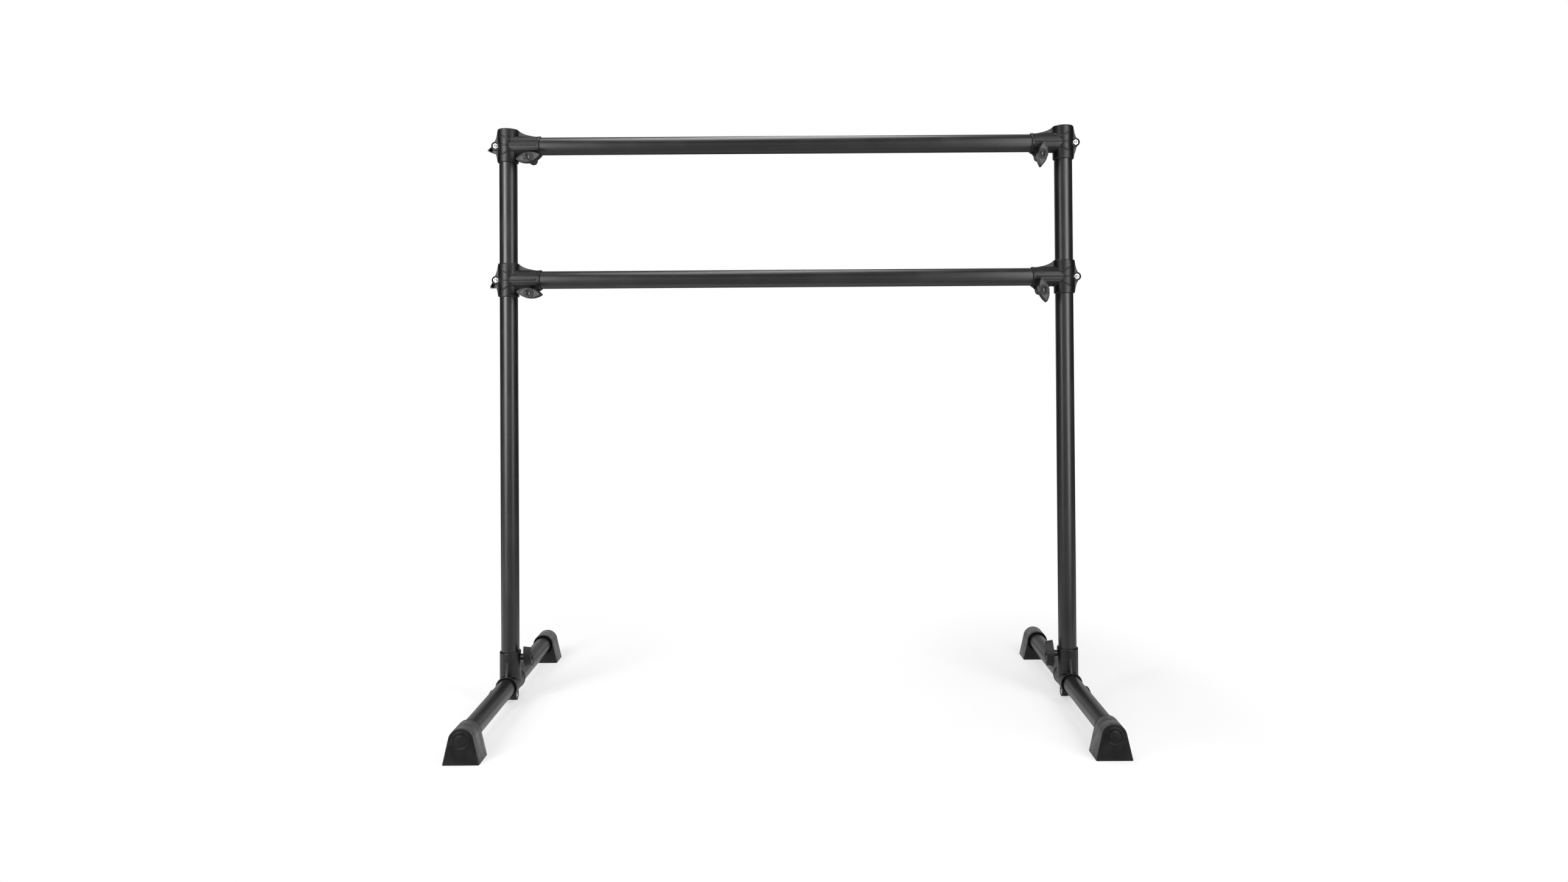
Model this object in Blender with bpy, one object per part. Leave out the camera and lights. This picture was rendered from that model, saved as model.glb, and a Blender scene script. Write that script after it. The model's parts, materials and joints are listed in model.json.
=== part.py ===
"""A free-standing double ballet barre.

Two steel uprights stand in base fittings that clamp round short cross tubes with
moulded feet. Two horizontal bars run between tee fittings, which slide on the
uprights and are locked by wing knobs. Metres, +Z up, the origin on the floor
midway between the uprights, the bars along X.
"""
import math

import bmesh
import bpy
from mathutils import Matrix, Vector

for item in list(bpy.data.objects):
    bpy.data.objects.remove(item, do_unlink=True)

# Driving dimensions
POST_SPACING = 1.1965
TOP_BAR_Z = 1.1967
LOWER_BAR_Z = 0.9082
BASE_AXIS_Z = 0.0434
BASE_LENGTH = 0.610

TUBE_R = 0.0190
TUBE_WALL = 0.0015
BORE_PLAY = 0.0005
BORE_R = TUBE_R + BORE_PLAY
GAP = 0.0003
TUBE_SIDES = 24
SLEEVE_SIDES = 20
HOLE_SIDES = 10

# Bolts and nuts
BOLT_R = 0.0030
HOLE_R = BOLT_R + 0.0003
NUT_FLATS = 0.0100
NUT_THICK = 0.0046
NUT_SUNK = 0.0006
POCKET_PLAY = 0.0003

# Tee fitting
RUN_WALL = 0.0024
RUN_R = BORE_R + RUN_WALL
RUN_HALF = RUN_R + 0.0143
BRANCH_WALL = 0.0015
BRANCH_R = BORE_R + BRANCH_WALL
BRANCH_REACH = RUN_R + 0.0491
MOUTH_R = BORE_R + 0.0025
MOUTH_LENGTH = 0.0050
BRANCH_FLOOR = RUN_R + 0.0018
SLIT_HALF = 0.0012
RIM_CHAMFER = 0.0016
MOUTH_CHAMFER = 0.0012

# Clamp ears
EAR_HALF = 0.0104
EAR_R = NUT_FLATS / 2.0 + 0.0042
POST_EAR_X = -(BORE_R + NUT_FLATS / 2.0 + 0.0005)
BAR_EAR_X = BRANCH_REACH - 0.0190
BAR_EAR_Z = -(BORE_R + NUT_FLATS / 2.0 + 0.0050)

# Wing knob, whose collar holds the wings clear of the sleeves
WING_LENGTH = 0.0273
WING_WIDTH = 0.0113
WING_THICK = 0.0153
WING_FACE_LENGTH = 0.0249
WING_FACE_WIDTH = 0.0102
HUB_R = 0.01075
DISH_R = 0.0074
DISH_DEPTH = 0.0020
RING_R = 0.0089
RING_DEPTH = 0.0009
WING_CLEARANCE = 0.0007
CLAMP_COLLAR = RUN_R + WING_CLEARANCE - EAR_HALF - GAP
CLAMP_COLLAR_R = HOLE_R + 0.0022
SCREW_COLLAR = 0.0083
SCREW_COLLAR_R = HOLE_R + 0.0031
KNOB_SOCKET = 0.0080

# Base fitting
BASE_WALL = 0.0027
BASE_SLEEVE_R = BORE_R + BASE_WALL
BASE_HALF = BASE_SLEEVE_R + 0.0093
BASE_LIP_R = BASE_SLEEVE_R + 0.0009
SOCKET_FLOOR_Z = BASE_AXIS_Z + BORE_R + 0.0056
SOCKET_DEPTH = 0.0445
SOCKET_TOP_Z = SOCKET_FLOOR_Z + SOCKET_DEPTH
SCREW_Z = SOCKET_TOP_Z - 0.0135
INSERT_R = HOLE_R + 0.0015
UNDER_BOLT_Z = BASE_AXIS_Z - (BORE_R + NUT_FLATS / 2.0 + 0.0019)
UNDER_EAR_HALF = 0.0148
UNDER_EAR_R = NUT_FLATS / 2.0 + 0.0046

# Foot
FOOT_DEPTH = 0.0460
FOOT_ARCH_R = BORE_R + 0.0042
FOOT_HALF = FOOT_ARCH_R + 0.0104
FOOT_WALL = 0.0100
FOOT_EDGE = 0.0012

POST_X = POST_SPACING / 2.0
POST_TOP_Z = TOP_BAR_Z + RUN_HALF - 0.0010


def material(name, colour, roughness, metallic):
    made = bpy.data.materials.new(name)
    made.use_nodes = True
    shader = made.node_tree.nodes["Principled BSDF"]
    shader.inputs["Base Color"].default_value = (*colour, 1.0)
    shader.inputs["Roughness"].default_value = roughness
    shader.inputs["Metallic"].default_value = metallic
    return made


BLACK_STEEL = material("black_steel", (0.022, 0.022, 0.023), 0.38, 0.0)
BLACK_PLASTIC = material("black_plastic", (0.026, 0.026, 0.027), 0.55, 0.0)
KNOB_PLASTIC = material("knob_plastic", (0.020, 0.020, 0.021), 0.48, 0.0)
CAP_PLASTIC = material("cap_plastic", (0.020, 0.020, 0.021), 0.50, 0.0)
RUBBER = material("foot_rubber", (0.060, 0.060, 0.060), 0.75, 0.0)
ZINC = material("zinc_steel", (0.62, 0.62, 0.60), 0.32, 1.0)


# Solids from outlines and turned profiles
def to_object(bm):
    bmesh.ops.recalc_face_normals(bm, faces=bm.faces)
    mesh = bpy.data.meshes.new("solid")
    bm.to_mesh(mesh)
    bm.free()
    made = bpy.data.objects.new("solid", mesh)
    bpy.context.scene.collection.objects.link(made)
    return made


def along(axis, u, v, depth):
    """A point of an outline (u, v) at a depth along the named axis."""
    if axis == "X":
        return (depth, u, v)
    if axis == "Y":
        return (u, depth, v)
    return (u, v, depth)


def loft(sections, axis):
    """A closed solid through outlines of equal length, each given with its depth."""
    bm = bmesh.new()
    rings = []
    for outline, depth in sections:
        rings.append([bm.verts.new(along(axis, u, v, depth)) for u, v in outline])
    count = len(rings[0])
    for near, far in zip(rings, rings[1:]):
        for i in range(count):
            j = (i + 1) % count
            bm.faces.new((near[i], near[j], far[j], far[i]))
    bm.faces.new(rings[0])
    bm.faces.new(rings[-1])
    return to_object(bm)


def prism(outline, low, high, axis):
    return loft([(outline, low), (outline, high)], axis)


def block(x0, x1, y0, y1, z0, z1):
    return prism([(x0, y0), (x1, y0), (x1, y1), (x0, y1)], z0, z1, "Z")


def circle(radius, count=SLEEVE_SIDES, centre=(0.0, 0.0), start=0.0, sweep=2.0 * math.pi):
    """Points round a circle, or along an arc when the sweep is less than a turn."""
    whole = abs(sweep - 2.0 * math.pi) < 1e-9
    steps = count if whole else count + 1
    points = []
    for i in range(steps):
        a = start + sweep * i / count
        points.append((centre[0] + radius * math.cos(a), centre[1] + radius * math.sin(a)))
    return points


def turned(profile, axis, count=SLEEVE_SIDES, centre=(0.0, 0.0)):
    """A solid of revolution from (radius, depth) pairs that start and end on the axis,
    or a ring when no pair is on the axis."""
    bm = bmesh.new()
    rings = []
    for radius, depth in profile:
        if radius < 1e-9:
            rings.append([bm.verts.new(along(axis, centre[0], centre[1], depth))])
        else:
            points = circle(radius, count, centre)
            rings.append([bm.verts.new(along(axis, u, v, depth)) for u, v in points])
    pairs = list(zip(rings, rings[1:]))
    if len(rings[0]) > 1:
        pairs.append((rings[-1], rings[0]))
    for near, far in pairs:
        for i in range(count):
            j = (i + 1) % count
            if len(near) == 1:
                bm.faces.new((near[0], far[j], far[i]))
            elif len(far) == 1:
                bm.faces.new((near[i], near[j], far[0]))
            else:
                bm.faces.new((near[i], near[j], far[j], far[i]))
    return to_object(bm)


def rod(radius, low, high, axis, count=SLEEVE_SIDES, centre=(0.0, 0.0)):
    return prism(circle(radius, count, centre), low, high, axis)


def curve(start, bend, end, steps=6):
    """Points along a quadratic curve pulled towards its bend point."""
    points = []
    for i in range(steps + 1):
        t = i / steps
        a, b, c = (1 - t) ** 2, 2 * t * (1 - t), t * t
        points.append((a * start[0] + b * bend[0] + c * end[0],
                       a * start[1] + b * bend[1] + c * end[1]))
    return points


def combine(base, tools, operation, solver="EXACT"):
    """Apply booleans to the base and remove the tools. The fittings, whose bores and
    webs meet at shallow angles, take the manifold solver; every solid here is closed."""
    for tool in tools:
        step = base.modifiers.new("step", "BOOLEAN")
        step.solver = solver
        step.operation = operation
        step.object = tool
    graph = bpy.context.evaluated_depsgraph_get()
    mesh = bpy.data.meshes.new_from_object(base.evaluated_get(graph))
    made = bpy.data.objects.new("solid", mesh)
    bpy.context.scene.collection.objects.link(made)
    for old in [base, *tools]:
        bpy.data.objects.remove(old, do_unlink=True)
    return made


def take_mesh(solid, name, paint, angle=32.0):
    """Keep the solid's mesh under a name, shaded smooth over shallow edges."""
    mesh = solid.data.copy()
    mesh.name = name
    mesh.materials.clear()
    mesh.materials.append(paint)
    mesh.shade_smooth()
    mesh.set_sharp_from_angle(angle=math.radians(angle))
    bpy.data.objects.remove(solid, do_unlink=True)
    return mesh


def mirrored(mesh, name):
    """The other hand of a piece, turned over in X."""
    other = mesh.copy()
    other.name = name
    other.transform(Matrix.Scale(-1.0, 4, Vector((1.0, 0.0, 0.0))))
    other.flip_normals()
    return other


# Nuts sit in hexagonal pockets, the points up and down
def hexagon(flats, centre):
    corner = flats / 2.0 / math.cos(math.pi / 6.0)
    return circle(corner, 6, centre, start=math.pi / 2.0)


def nut_pocket(centre, face, inward, axis):
    """The cutter for a nut's pocket in an ear's outer face."""
    depth = NUT_SUNK + NUT_THICK + GAP
    flats = NUT_FLATS + 2.0 * POCKET_PLAY
    sides = sorted((face - inward * 0.002, face + inward * depth))
    return prism(hexagon(flats, centre), sides[0], sides[1], axis)


def tee_solid():
    """Tee fitting: the post runs along Z through it, the bar plugs in from +X."""
    c = RIM_CHAMFER
    m = MOUTH_CHAMFER
    run = turned([(0.0, -RUN_HALF), (RUN_R - c, -RUN_HALF), (RUN_R, -RUN_HALF + c),
                  (RUN_R, RUN_HALF - c), (RUN_R - c, RUN_HALF), (0.0, RUN_HALF)], "Z")
    ring_x = BRANCH_REACH - MOUTH_LENGTH
    branch = turned([(0.0, 0.002), (BRANCH_R, 0.002), (BRANCH_R, ring_x), (MOUTH_R, ring_x + 0.0006),
                     (MOUTH_R, BRANCH_REACH - m), (MOUTH_R - m, BRANCH_REACH),
                     (0.0, BRANCH_REACH)], "X")

    # Ear of the post clamp, and the thin webs above and below it
    inside = BORE_R - 0.0075
    within = BORE_R - 0.0045
    rear = circle(EAR_R, 8, (POST_EAR_X, 0.0), math.pi / 2.0, math.pi)
    post_ear = prism(rear + [(-inside, -EAR_R), (-inside, EAR_R)], -EAR_HALF, EAR_HALF, "Y")
    web_top = RUN_HALF - 0.0015
    upper = curve((POST_EAR_X - 0.0078, 0.0048), (-RUN_R - 0.0029, 0.0125), (-RUN_R - 0.0014, web_top), 5)
    lower = [(x, -z) for x, z in reversed(upper)]
    post_web = prism(upper + [(-within, web_top), (-within, -web_top)] + lower,
                     -0.0042, 0.0042, "Y")

    # Ear of the bar clamp under the branch, with its webs
    under = circle(EAR_R, 8, (BAR_EAR_X, BAR_EAR_Z), math.pi, math.pi)
    bar_ear = prism(under + [(BAR_EAR_X + EAR_R, -inside), (BAR_EAR_X - EAR_R, -inside)],
                    -EAR_HALF, EAR_HALF, "Y")
    inner = curve((BAR_EAR_X - 0.0230, -BRANCH_R + 0.0005), (BAR_EAR_X - 0.0120, -BRANCH_R - 0.0015),
                  (BAR_EAR_X - 0.0072, BAR_EAR_Z - 0.0050), 5)
    outer = curve((BAR_EAR_X + 0.0078, BAR_EAR_Z - 0.0045), (BAR_EAR_X + 0.0120, -BRANCH_R - 0.0030),
                  (BRANCH_REACH - 0.0006, -BRANCH_R - 0.0002), 5)
    bar_web = prism([(BAR_EAR_X - 0.0230, -within)] + inner + outer + [(BRANCH_REACH - 0.0006, -within)],
                    -0.0042, 0.0042, "Y")

    # Gusset in the upper corner
    fade = BRANCH_REACH - 0.0125
    edge = curve((RUN_R - 0.0003, RUN_HALF - 0.0010), (RUN_R + 0.0081, BRANCH_R + 0.0025),
                 (fade, BRANCH_R + 0.0002), 8)
    gusset = prism(edge + [(fade, within), (inside, within), (inside, RUN_HALF - 0.0010)],
                   -0.0024, 0.0024, "Y")

    body = combine(run, [branch, gusset, post_ear, post_web, bar_ear, bar_web], "UNION", "MANIFOLD")

    mouth = BRANCH_REACH
    cuts = [rod(BORE_R, -RUN_HALF - 0.0138, RUN_HALF + 0.0138, "Z"),
            turned([(0.0, BRANCH_FLOOR), (BORE_R, BRANCH_FLOOR), (BORE_R, mouth - 0.0010),
                    (BORE_R + 0.0005, mouth), (BORE_R + 0.0005, mouth + 0.002),
                    (0.0, mouth + 0.002)], "X"),
            block(POST_EAR_X - EAR_R - 0.0158, -within, -SLIT_HALF, SLIT_HALF,
                  -RUN_HALF - 0.0138, RUN_HALF + 0.0138),
            block(RUN_R + 0.0043, mouth + 0.0190, -SLIT_HALF, SLIT_HALF,
                  BAR_EAR_Z - EAR_R - 0.0163, -within),
            rod(HOLE_R, -EAR_HALF - 0.0096, EAR_HALF + 0.0096, "Y", HOLE_SIDES, (POST_EAR_X, 0.0)),
            rod(HOLE_R, -EAR_HALF - 0.0096, EAR_HALF + 0.0096, "Y", HOLE_SIDES, (BAR_EAR_X, BAR_EAR_Z))]
    cuts.append(nut_pocket((POST_EAR_X, 0.0), -EAR_HALF, 1.0, "Y"))
    cuts.append(nut_pocket((BAR_EAR_X, BAR_EAR_Z), EAR_HALF, -1.0, "Y"))
    return combine(body, cuts, "DIFFERENCE", "MANIFOLD")


def base_solid():
    """Base fitting about the base tube's axis: the tube along Y, the post in from above,
    the locking screw on +X and the clamp ears below."""
    c = RIM_CHAMFER
    lip = 0.0028
    run = turned([(0.0, -BASE_HALF), (BASE_LIP_R, -BASE_HALF), (BASE_LIP_R, -BASE_HALF + lip),
                  (BASE_SLEEVE_R, -BASE_HALF + lip + 0.0006),
                  (BASE_SLEEVE_R, BASE_HALF - lip - 0.0006), (BASE_LIP_R, BASE_HALF - lip),
                  (BASE_LIP_R, BASE_HALF), (0.0, BASE_HALF)], "Y")
    top = SOCKET_TOP_Z - BASE_AXIS_Z
    socket = turned([(0.0, 0.001), (BASE_SLEEVE_R - 0.0001, 0.001), (BASE_SLEEVE_R - 0.0001, top - c),
                     (BASE_SLEEVE_R - 0.0001 - c, top), (0.0, top)], "Z")
    rise = curve((BASE_SLEEVE_R - 0.0008, top - 0.0151), (BASE_SLEEVE_R + 0.0018, BASE_SLEEVE_R + 0.0123),
                 (BASE_HALF - 0.0006, BASE_SLEEVE_R + 0.0012), 6)
    outline = rise + [(BASE_HALF - 0.0006, BORE_R - 0.0035)]
    outline += [(-y, z) for y, z in reversed(outline)]
    gusset = prism(outline, -0.0024, 0.0024, "X")

    bolt_z = UNDER_BOLT_Z - BASE_AXIS_Z
    belly = circle(UNDER_EAR_R, 8, (0.0, bolt_z), math.pi, math.pi)
    ear = prism(belly + [(UNDER_EAR_R, -BORE_R + 0.0095), (-UNDER_EAR_R, -BORE_R + 0.0095)],
                -UNDER_EAR_HALF, UNDER_EAR_HALF, "X")
    within = BORE_R - 0.0045
    side = curve((UNDER_EAR_R - 0.0016, bolt_z - 0.0050), (BASE_HALF - 0.0135, -BASE_SLEEVE_R - 0.0023),
                 (BASE_HALF - 0.0010, -BASE_SLEEVE_R - 0.0006), 5)
    skirt = side + [(BASE_HALF - 0.0010, -within)]
    skirt = [(-y, z) for y, z in reversed(skirt)] + skirt
    web = prism(skirt, -0.0042, 0.0042, "X")

    screw_z = SCREW_Z - BASE_AXIS_Z
    body = combine(run, [socket, gusset, ear, web], "UNION", "MANIFOLD")
    cuts = [rod(BORE_R, -BASE_HALF - 0.0285, BASE_HALF + 0.0285, "Y"),
            rod(BORE_R, SOCKET_FLOOR_Z - BASE_AXIS_Z, top + 0.0304, "Z"),
            block(-SLIT_HALF, SLIT_HALF, -BASE_HALF - 0.0285, BASE_HALF + 0.0285,
                  bolt_z - UNDER_EAR_R - 0.0140, -within),
            rod(INSERT_R + GAP, within, BASE_SLEEVE_R + 0.0078, "X", 12, (0.0, screw_z)),
            rod(HOLE_R, -UNDER_EAR_HALF - 0.0152, UNDER_EAR_HALF + 0.0152, "X", HOLE_SIDES, (0.0, bolt_z))]
    cuts.append(nut_pocket((0.0, bolt_z), UNDER_EAR_HALF, -1.0, "X"))
    return combine(body, cuts, "DIFFERENCE", "MANIFOLD")


def foot_outline(inset):
    """Arch round the tube with sides that run out tangent to a wide sole."""
    half = FOOT_HALF - inset
    sole = -BASE_AXIS_Z
    radius = FOOT_ARCH_R - inset
    reach = math.hypot(half, sole)
    turn = math.acos(radius / reach)
    first = math.atan2(sole, half) + turn
    arch = circle(radius, 12, (0.0, 0.0), first, math.pi - 2.0 * first)
    return [(half - 0.0012, sole), (half, sole + 0.0012)] + arch \
        + [(-half, sole + 0.0012), (-half + 0.0012, sole)]


def foot_solid():
    """Foot about the tube's axis; the tube enters from the low-y side."""
    d = FOOT_DEPTH
    e = FOOT_EDGE
    body = loft([(foot_outline(e * 0.6), 0.0), (foot_outline(0.0), e),
                 (foot_outline(0.0), d - e), (foot_outline(e * 0.6), d)], "Y")
    entry = BORE_R + 0.0013
    socket = turned([(0.0, -0.002), (entry, -0.002), (entry, 0.0030), (BORE_R, 0.0030),
                     (BORE_R, d - FOOT_WALL), (0.0, d - FOOT_WALL)], "Y")
    vent = rod(0.0009, FOOT_ARCH_R - 0.0030, FOOT_ARCH_R + 0.0020, "Z", 8, (0.0, d / 2.0 + 0.0005))
    return combine(body, [socket, vent], "DIFFERENCE")


def lens(half_length, half_width, steps=7):
    """Pointed oval with slightly blunt tips, the long way along the first axis."""
    reach = half_length + 0.0015
    radius = (reach ** 2 + half_width ** 2) / (2.0 * half_width)
    drop = radius - half_width
    side = []
    for i in range(steps + 1):
        u = half_length * math.cos(math.pi * i / steps)
        side.append((u, math.sqrt(radius ** 2 - u ** 2) - drop))
    return side + [(-u, -v) for u, v in side]


def knob_solid(collar, collar_r):
    """Wing knob about Z: the collar points down to the ear, the wings start at zero."""
    t = WING_THICK
    a = WING_LENGTH
    b = WING_WIDTH
    fa = WING_FACE_LENGTH
    fb = WING_FACE_WIDTH
    wing = loft([(lens(a, b), 0.0), (lens(fa, fb), t), (lens(fa - 0.0016, fb - 0.0015), t),
                 (lens(fa - 0.0019, fb - 0.0018), t - 0.0008)], "Z")
    face = t + 0.0001
    hub = turned([(0.0, 0.0020), (HUB_R, 0.0020), (HUB_R, face), (RING_R + 0.0006, face),
                  (RING_R, face - RING_DEPTH), (RING_R - 0.0006, face), (DISH_R, face),
                  (DISH_R * 0.6, face - DISH_DEPTH * 0.72), (0.0, face - DISH_DEPTH)], "Z", 16)
    neck = rod(collar_r, -collar, 0.0030, "Z", 12)
    body = combine(wing, [hub, neck], "UNION")
    hole = rod(HOLE_R, -collar - 0.002, KNOB_SOCKET, "Z", HOLE_SIDES)
    return combine(body, [hole], "DIFFERENCE")


def nut_solid():
    """Hexagon nut about Z, its first corner on +X."""
    corner = NUT_FLATS / 2.0 / math.cos(math.pi / 6.0)
    body = rod(corner, 0.0, NUT_THICK, "Z", 6)
    return combine(body, [rod(HOLE_R, -0.002, NUT_THICK + 0.002, "Z", HOLE_SIDES)], "DIFFERENCE")


def bolt_solid(length):
    """Threaded rod about Z, its free end at zero."""
    return rod(BOLT_R, 0.0, length, "Z", HOLE_SIDES)


def tube_solid(length, axis):
    inner = TUBE_R - TUBE_WALL
    half = length / 2.0
    return turned([(TUBE_R, -half), (TUBE_R, half), (inner, half), (inner, -half)], axis,
                  TUBE_SIDES)


# Meshes shared by the repeated pieces
TEE_LEFT = take_mesh(tee_solid(), "tee_left", BLACK_PLASTIC)
TEE_RIGHT = mirrored(TEE_LEFT, "tee_right")
BASE_LEFT = take_mesh(base_solid(), "base_left", BLACK_PLASTIC)
BASE_RIGHT = mirrored(BASE_LEFT, "base_right")
FOOT = take_mesh(foot_solid(), "foot", RUBBER)
CLAMP_KNOB = take_mesh(knob_solid(CLAMP_COLLAR, CLAMP_COLLAR_R), "clamp_knob", KNOB_PLASTIC)
SCREW_KNOB = take_mesh(knob_solid(SCREW_COLLAR, SCREW_COLLAR_R), "screw_knob", KNOB_PLASTIC)
NUT = take_mesh(nut_solid(), "nut", ZINC)

# A clamp bolt runs from just past the nut into the knob
BOLT_END = NUT_SUNK - GAP
CLAMP_BOLT_LENGTH = 2.0 * EAR_HALF - BOLT_END + GAP + CLAMP_COLLAR + KNOB_SOCKET - GAP
UNDER_BOLT_LENGTH = 2.0 * UNDER_EAR_HALF - BOLT_END + GAP + CLAMP_COLLAR + KNOB_SOCKET - GAP
CLAMP_BOLT = take_mesh(bolt_solid(CLAMP_BOLT_LENGTH), "clamp_bolt", ZINC)
UNDER_BOLT = take_mesh(bolt_solid(UNDER_BOLT_LENGTH), "under_bolt", ZINC)

INSERT_OUT = BASE_SLEEVE_R + 0.0003
INSERT_IN = BORE_R + 0.0004
SCREW_TIP = BORE_R
SCREW_SEAT = INSERT_OUT + GAP
LOCK_SCREW_LENGTH = SCREW_SEAT + SCREW_COLLAR + KNOB_SOCKET - GAP - SCREW_TIP
LOCK_SCREW = take_mesh(bolt_solid(LOCK_SCREW_LENGTH), "lock_screw", ZINC)
INSERT = take_mesh(turned([(INSERT_R, 0.0), (INSERT_R, INSERT_OUT - INSERT_IN),
                           (HOLE_R, INSERT_OUT - INSERT_IN), (HOLE_R, 0.0)], "Z", 12),
                   "insert", ZINC)

POST_LENGTH = POST_TOP_Z - SOCKET_FLOOR_Z - GAP
POST = take_mesh(tube_solid(POST_LENGTH, "Z"), "post", BLACK_STEEL)
BAR_LENGTH = POST_SPACING - 2.0 * (BRANCH_FLOOR + GAP)
BAR = take_mesh(tube_solid(BAR_LENGTH, "X"), "bar", BLACK_STEEL)
CROSS_LENGTH = BASE_LENGTH - 2.0 * (FOOT_WALL + GAP)
CROSS_TUBE = take_mesh(tube_solid(CROSS_LENGTH, "Y"), "cross_tube", BLACK_STEEL)

PLUG_R = TUBE_R - TUBE_WALL - GAP
CAP = take_mesh(turned([(0.0, -0.0120), (PLUG_R, -0.0120), (PLUG_R, GAP), (TUBE_R, GAP),
                        (TUBE_R, 0.0009), (TUBE_R - 0.0012, 0.0014), (0.0, 0.0019)], "Z",
                       TUBE_SIDES), "cap", CAP_PLASTIC)


# Placing
def level(name, place):
    """An empty that carries the pieces that move together."""
    carrier = bpy.data.objects.new(name, None)
    carrier.empty_display_size = 0.05
    carrier.location = place
    bpy.context.scene.collection.objects.link(carrier)
    return carrier


def put(name, mesh, place, parent=None, outward=None, first=None):
    """A named piece; outward and first turn its Z and X on to those directions."""
    made = bpy.data.objects.new(name, mesh)
    made.location = place
    if outward is not None:
        z = Vector(outward).normalized()
        x = Vector(first).normalized()
        y = z.cross(x)
        turn = Matrix((x, y, z)).transposed()
        made.rotation_euler = turn.to_euler()
    made.parent = parent
    bpy.context.scene.collection.objects.link(made)
    return made


def slant(angle, plane):
    """Direction at an angle above the horizontal, in the XZ or the YZ plane."""
    a = math.radians(angle)
    if plane == "XZ":
        return (math.cos(a), 0.0, math.sin(a))
    return (0.0, math.cos(a), math.sin(a))


UP = (0.0, 0.0, 1.0)


def clamp_set(name, parent, centre, outward, half, bolt, tilt, plane):
    """Bolt, nut and wing knob of a clamp. The knob is on the outward side."""
    out = Vector(outward)
    mid = Vector(centre)
    put(name + "_bolt", bolt, mid - out * (half - BOLT_END), parent, outward, UP)
    put(name + "_nut", NUT, mid - out * (half - NUT_SUNK), parent, outward, UP)
    seat = mid + out * (half + GAP + CLAMP_COLLAR)
    put(name + "_knob", CLAMP_KNOB, seat, parent, outward, slant(tilt, plane))


# Rest angle of each wing, seen from the front
POST_KNOB_TILT = {"top_left": 7.0, "top_right": 90.0, "lower_left": 33.0, "lower_right": 90.0}
BAR_KNOB_TILT = {"top_left": 9.8, "top_right": 82.0, "lower_left": -7.0, "lower_right": 103.0}

put("left_upright", POST, (-POST_X, 0.0, POST_TOP_Z - POST_LENGTH / 2.0))
put("right_upright", POST, (POST_X, 0.0, POST_TOP_Z - POST_LENGTH / 2.0))
put("left_upright_cap", CAP, (-POST_X, 0.0, POST_TOP_Z))
put("right_upright_cap", CAP, (POST_X, 0.0, POST_TOP_Z))

for row, height in (("top", TOP_BAR_Z), ("lower", LOWER_BAR_Z)):
    carrier = level(row + "_level", (0.0, 0.0, height))
    put(row + "_bar", BAR, (0.0, 0.0, 0.0), carrier)
    for side, way in (("left", -1.0), ("right", 1.0)):
        name = row + "_" + side
        put(name + "_tee", TEE_LEFT if way < 0.0 else TEE_RIGHT, (way * POST_X, 0.0, 0.0), carrier)
        post_ear = (way * (POST_X - POST_EAR_X), 0.0, 0.0)
        bar_ear = (way * (POST_X - BAR_EAR_X), 0.0, BAR_EAR_Z)
        clamp_set(name + "_post", carrier, post_ear, (0.0, 1.0, 0.0), EAR_HALF, CLAMP_BOLT,
                  POST_KNOB_TILT[name], "XZ")
        clamp_set(name + "_bar", carrier, bar_ear, (0.0, -1.0, 0.0), EAR_HALF, CLAMP_BOLT,
                  BAR_KNOB_TILT[name], "XZ")

LOCK_KNOB_TILT = {"left": 114.0, "right": 82.0}
UNDER_KNOB_TILT = {"left": -6.0, "right": -12.0}

for side, way in (("left", -1.0), ("right", 1.0)):
    inward = (-way, 0.0, 0.0)
    base = level(side + "_base", (way * POST_X, 0.0, BASE_AXIS_Z))
    put(side + "_base_fitting", BASE_LEFT if way < 0.0 else BASE_RIGHT, (0.0, 0.0, 0.0), base)
    put(side + "_base_tube", CROSS_TUBE, (0.0, 0.0, 0.0), base)
    screw_z = SCREW_Z - BASE_AXIS_Z
    put(side + "_lock_insert", INSERT, (-way * INSERT_IN, 0.0, screw_z), base, inward, UP)
    put(side + "_lock_screw", LOCK_SCREW, (-way * SCREW_TIP, 0.0, screw_z), base, inward, UP)
    put(side + "_lock_knob", SCREW_KNOB, (-way * (SCREW_SEAT + SCREW_COLLAR), 0.0, screw_z), base,
        inward, slant(LOCK_KNOB_TILT[side], "YZ"))
    clamp_set(side + "_under", base, (0.0, 0.0, UNDER_BOLT_Z - BASE_AXIS_Z), (way, 0.0, 0.0),
              UNDER_EAR_HALF, UNDER_BOLT, UNDER_KNOB_TILT[side], "YZ")
    for end, ahead in (("front", -1.0), ("rear", 1.0)):
        foot = put(side + "_" + end + "_foot", FOOT,
                   (0.0, ahead * (BASE_LENGTH / 2.0 - FOOT_DEPTH), 0.0), base)
        if ahead < 0.0:
            foot.rotation_euler = (0.0, 0.0, math.pi)
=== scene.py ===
import json
import math

import bmesh
import bpy
from mathutils import Matrix, Vector

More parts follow.
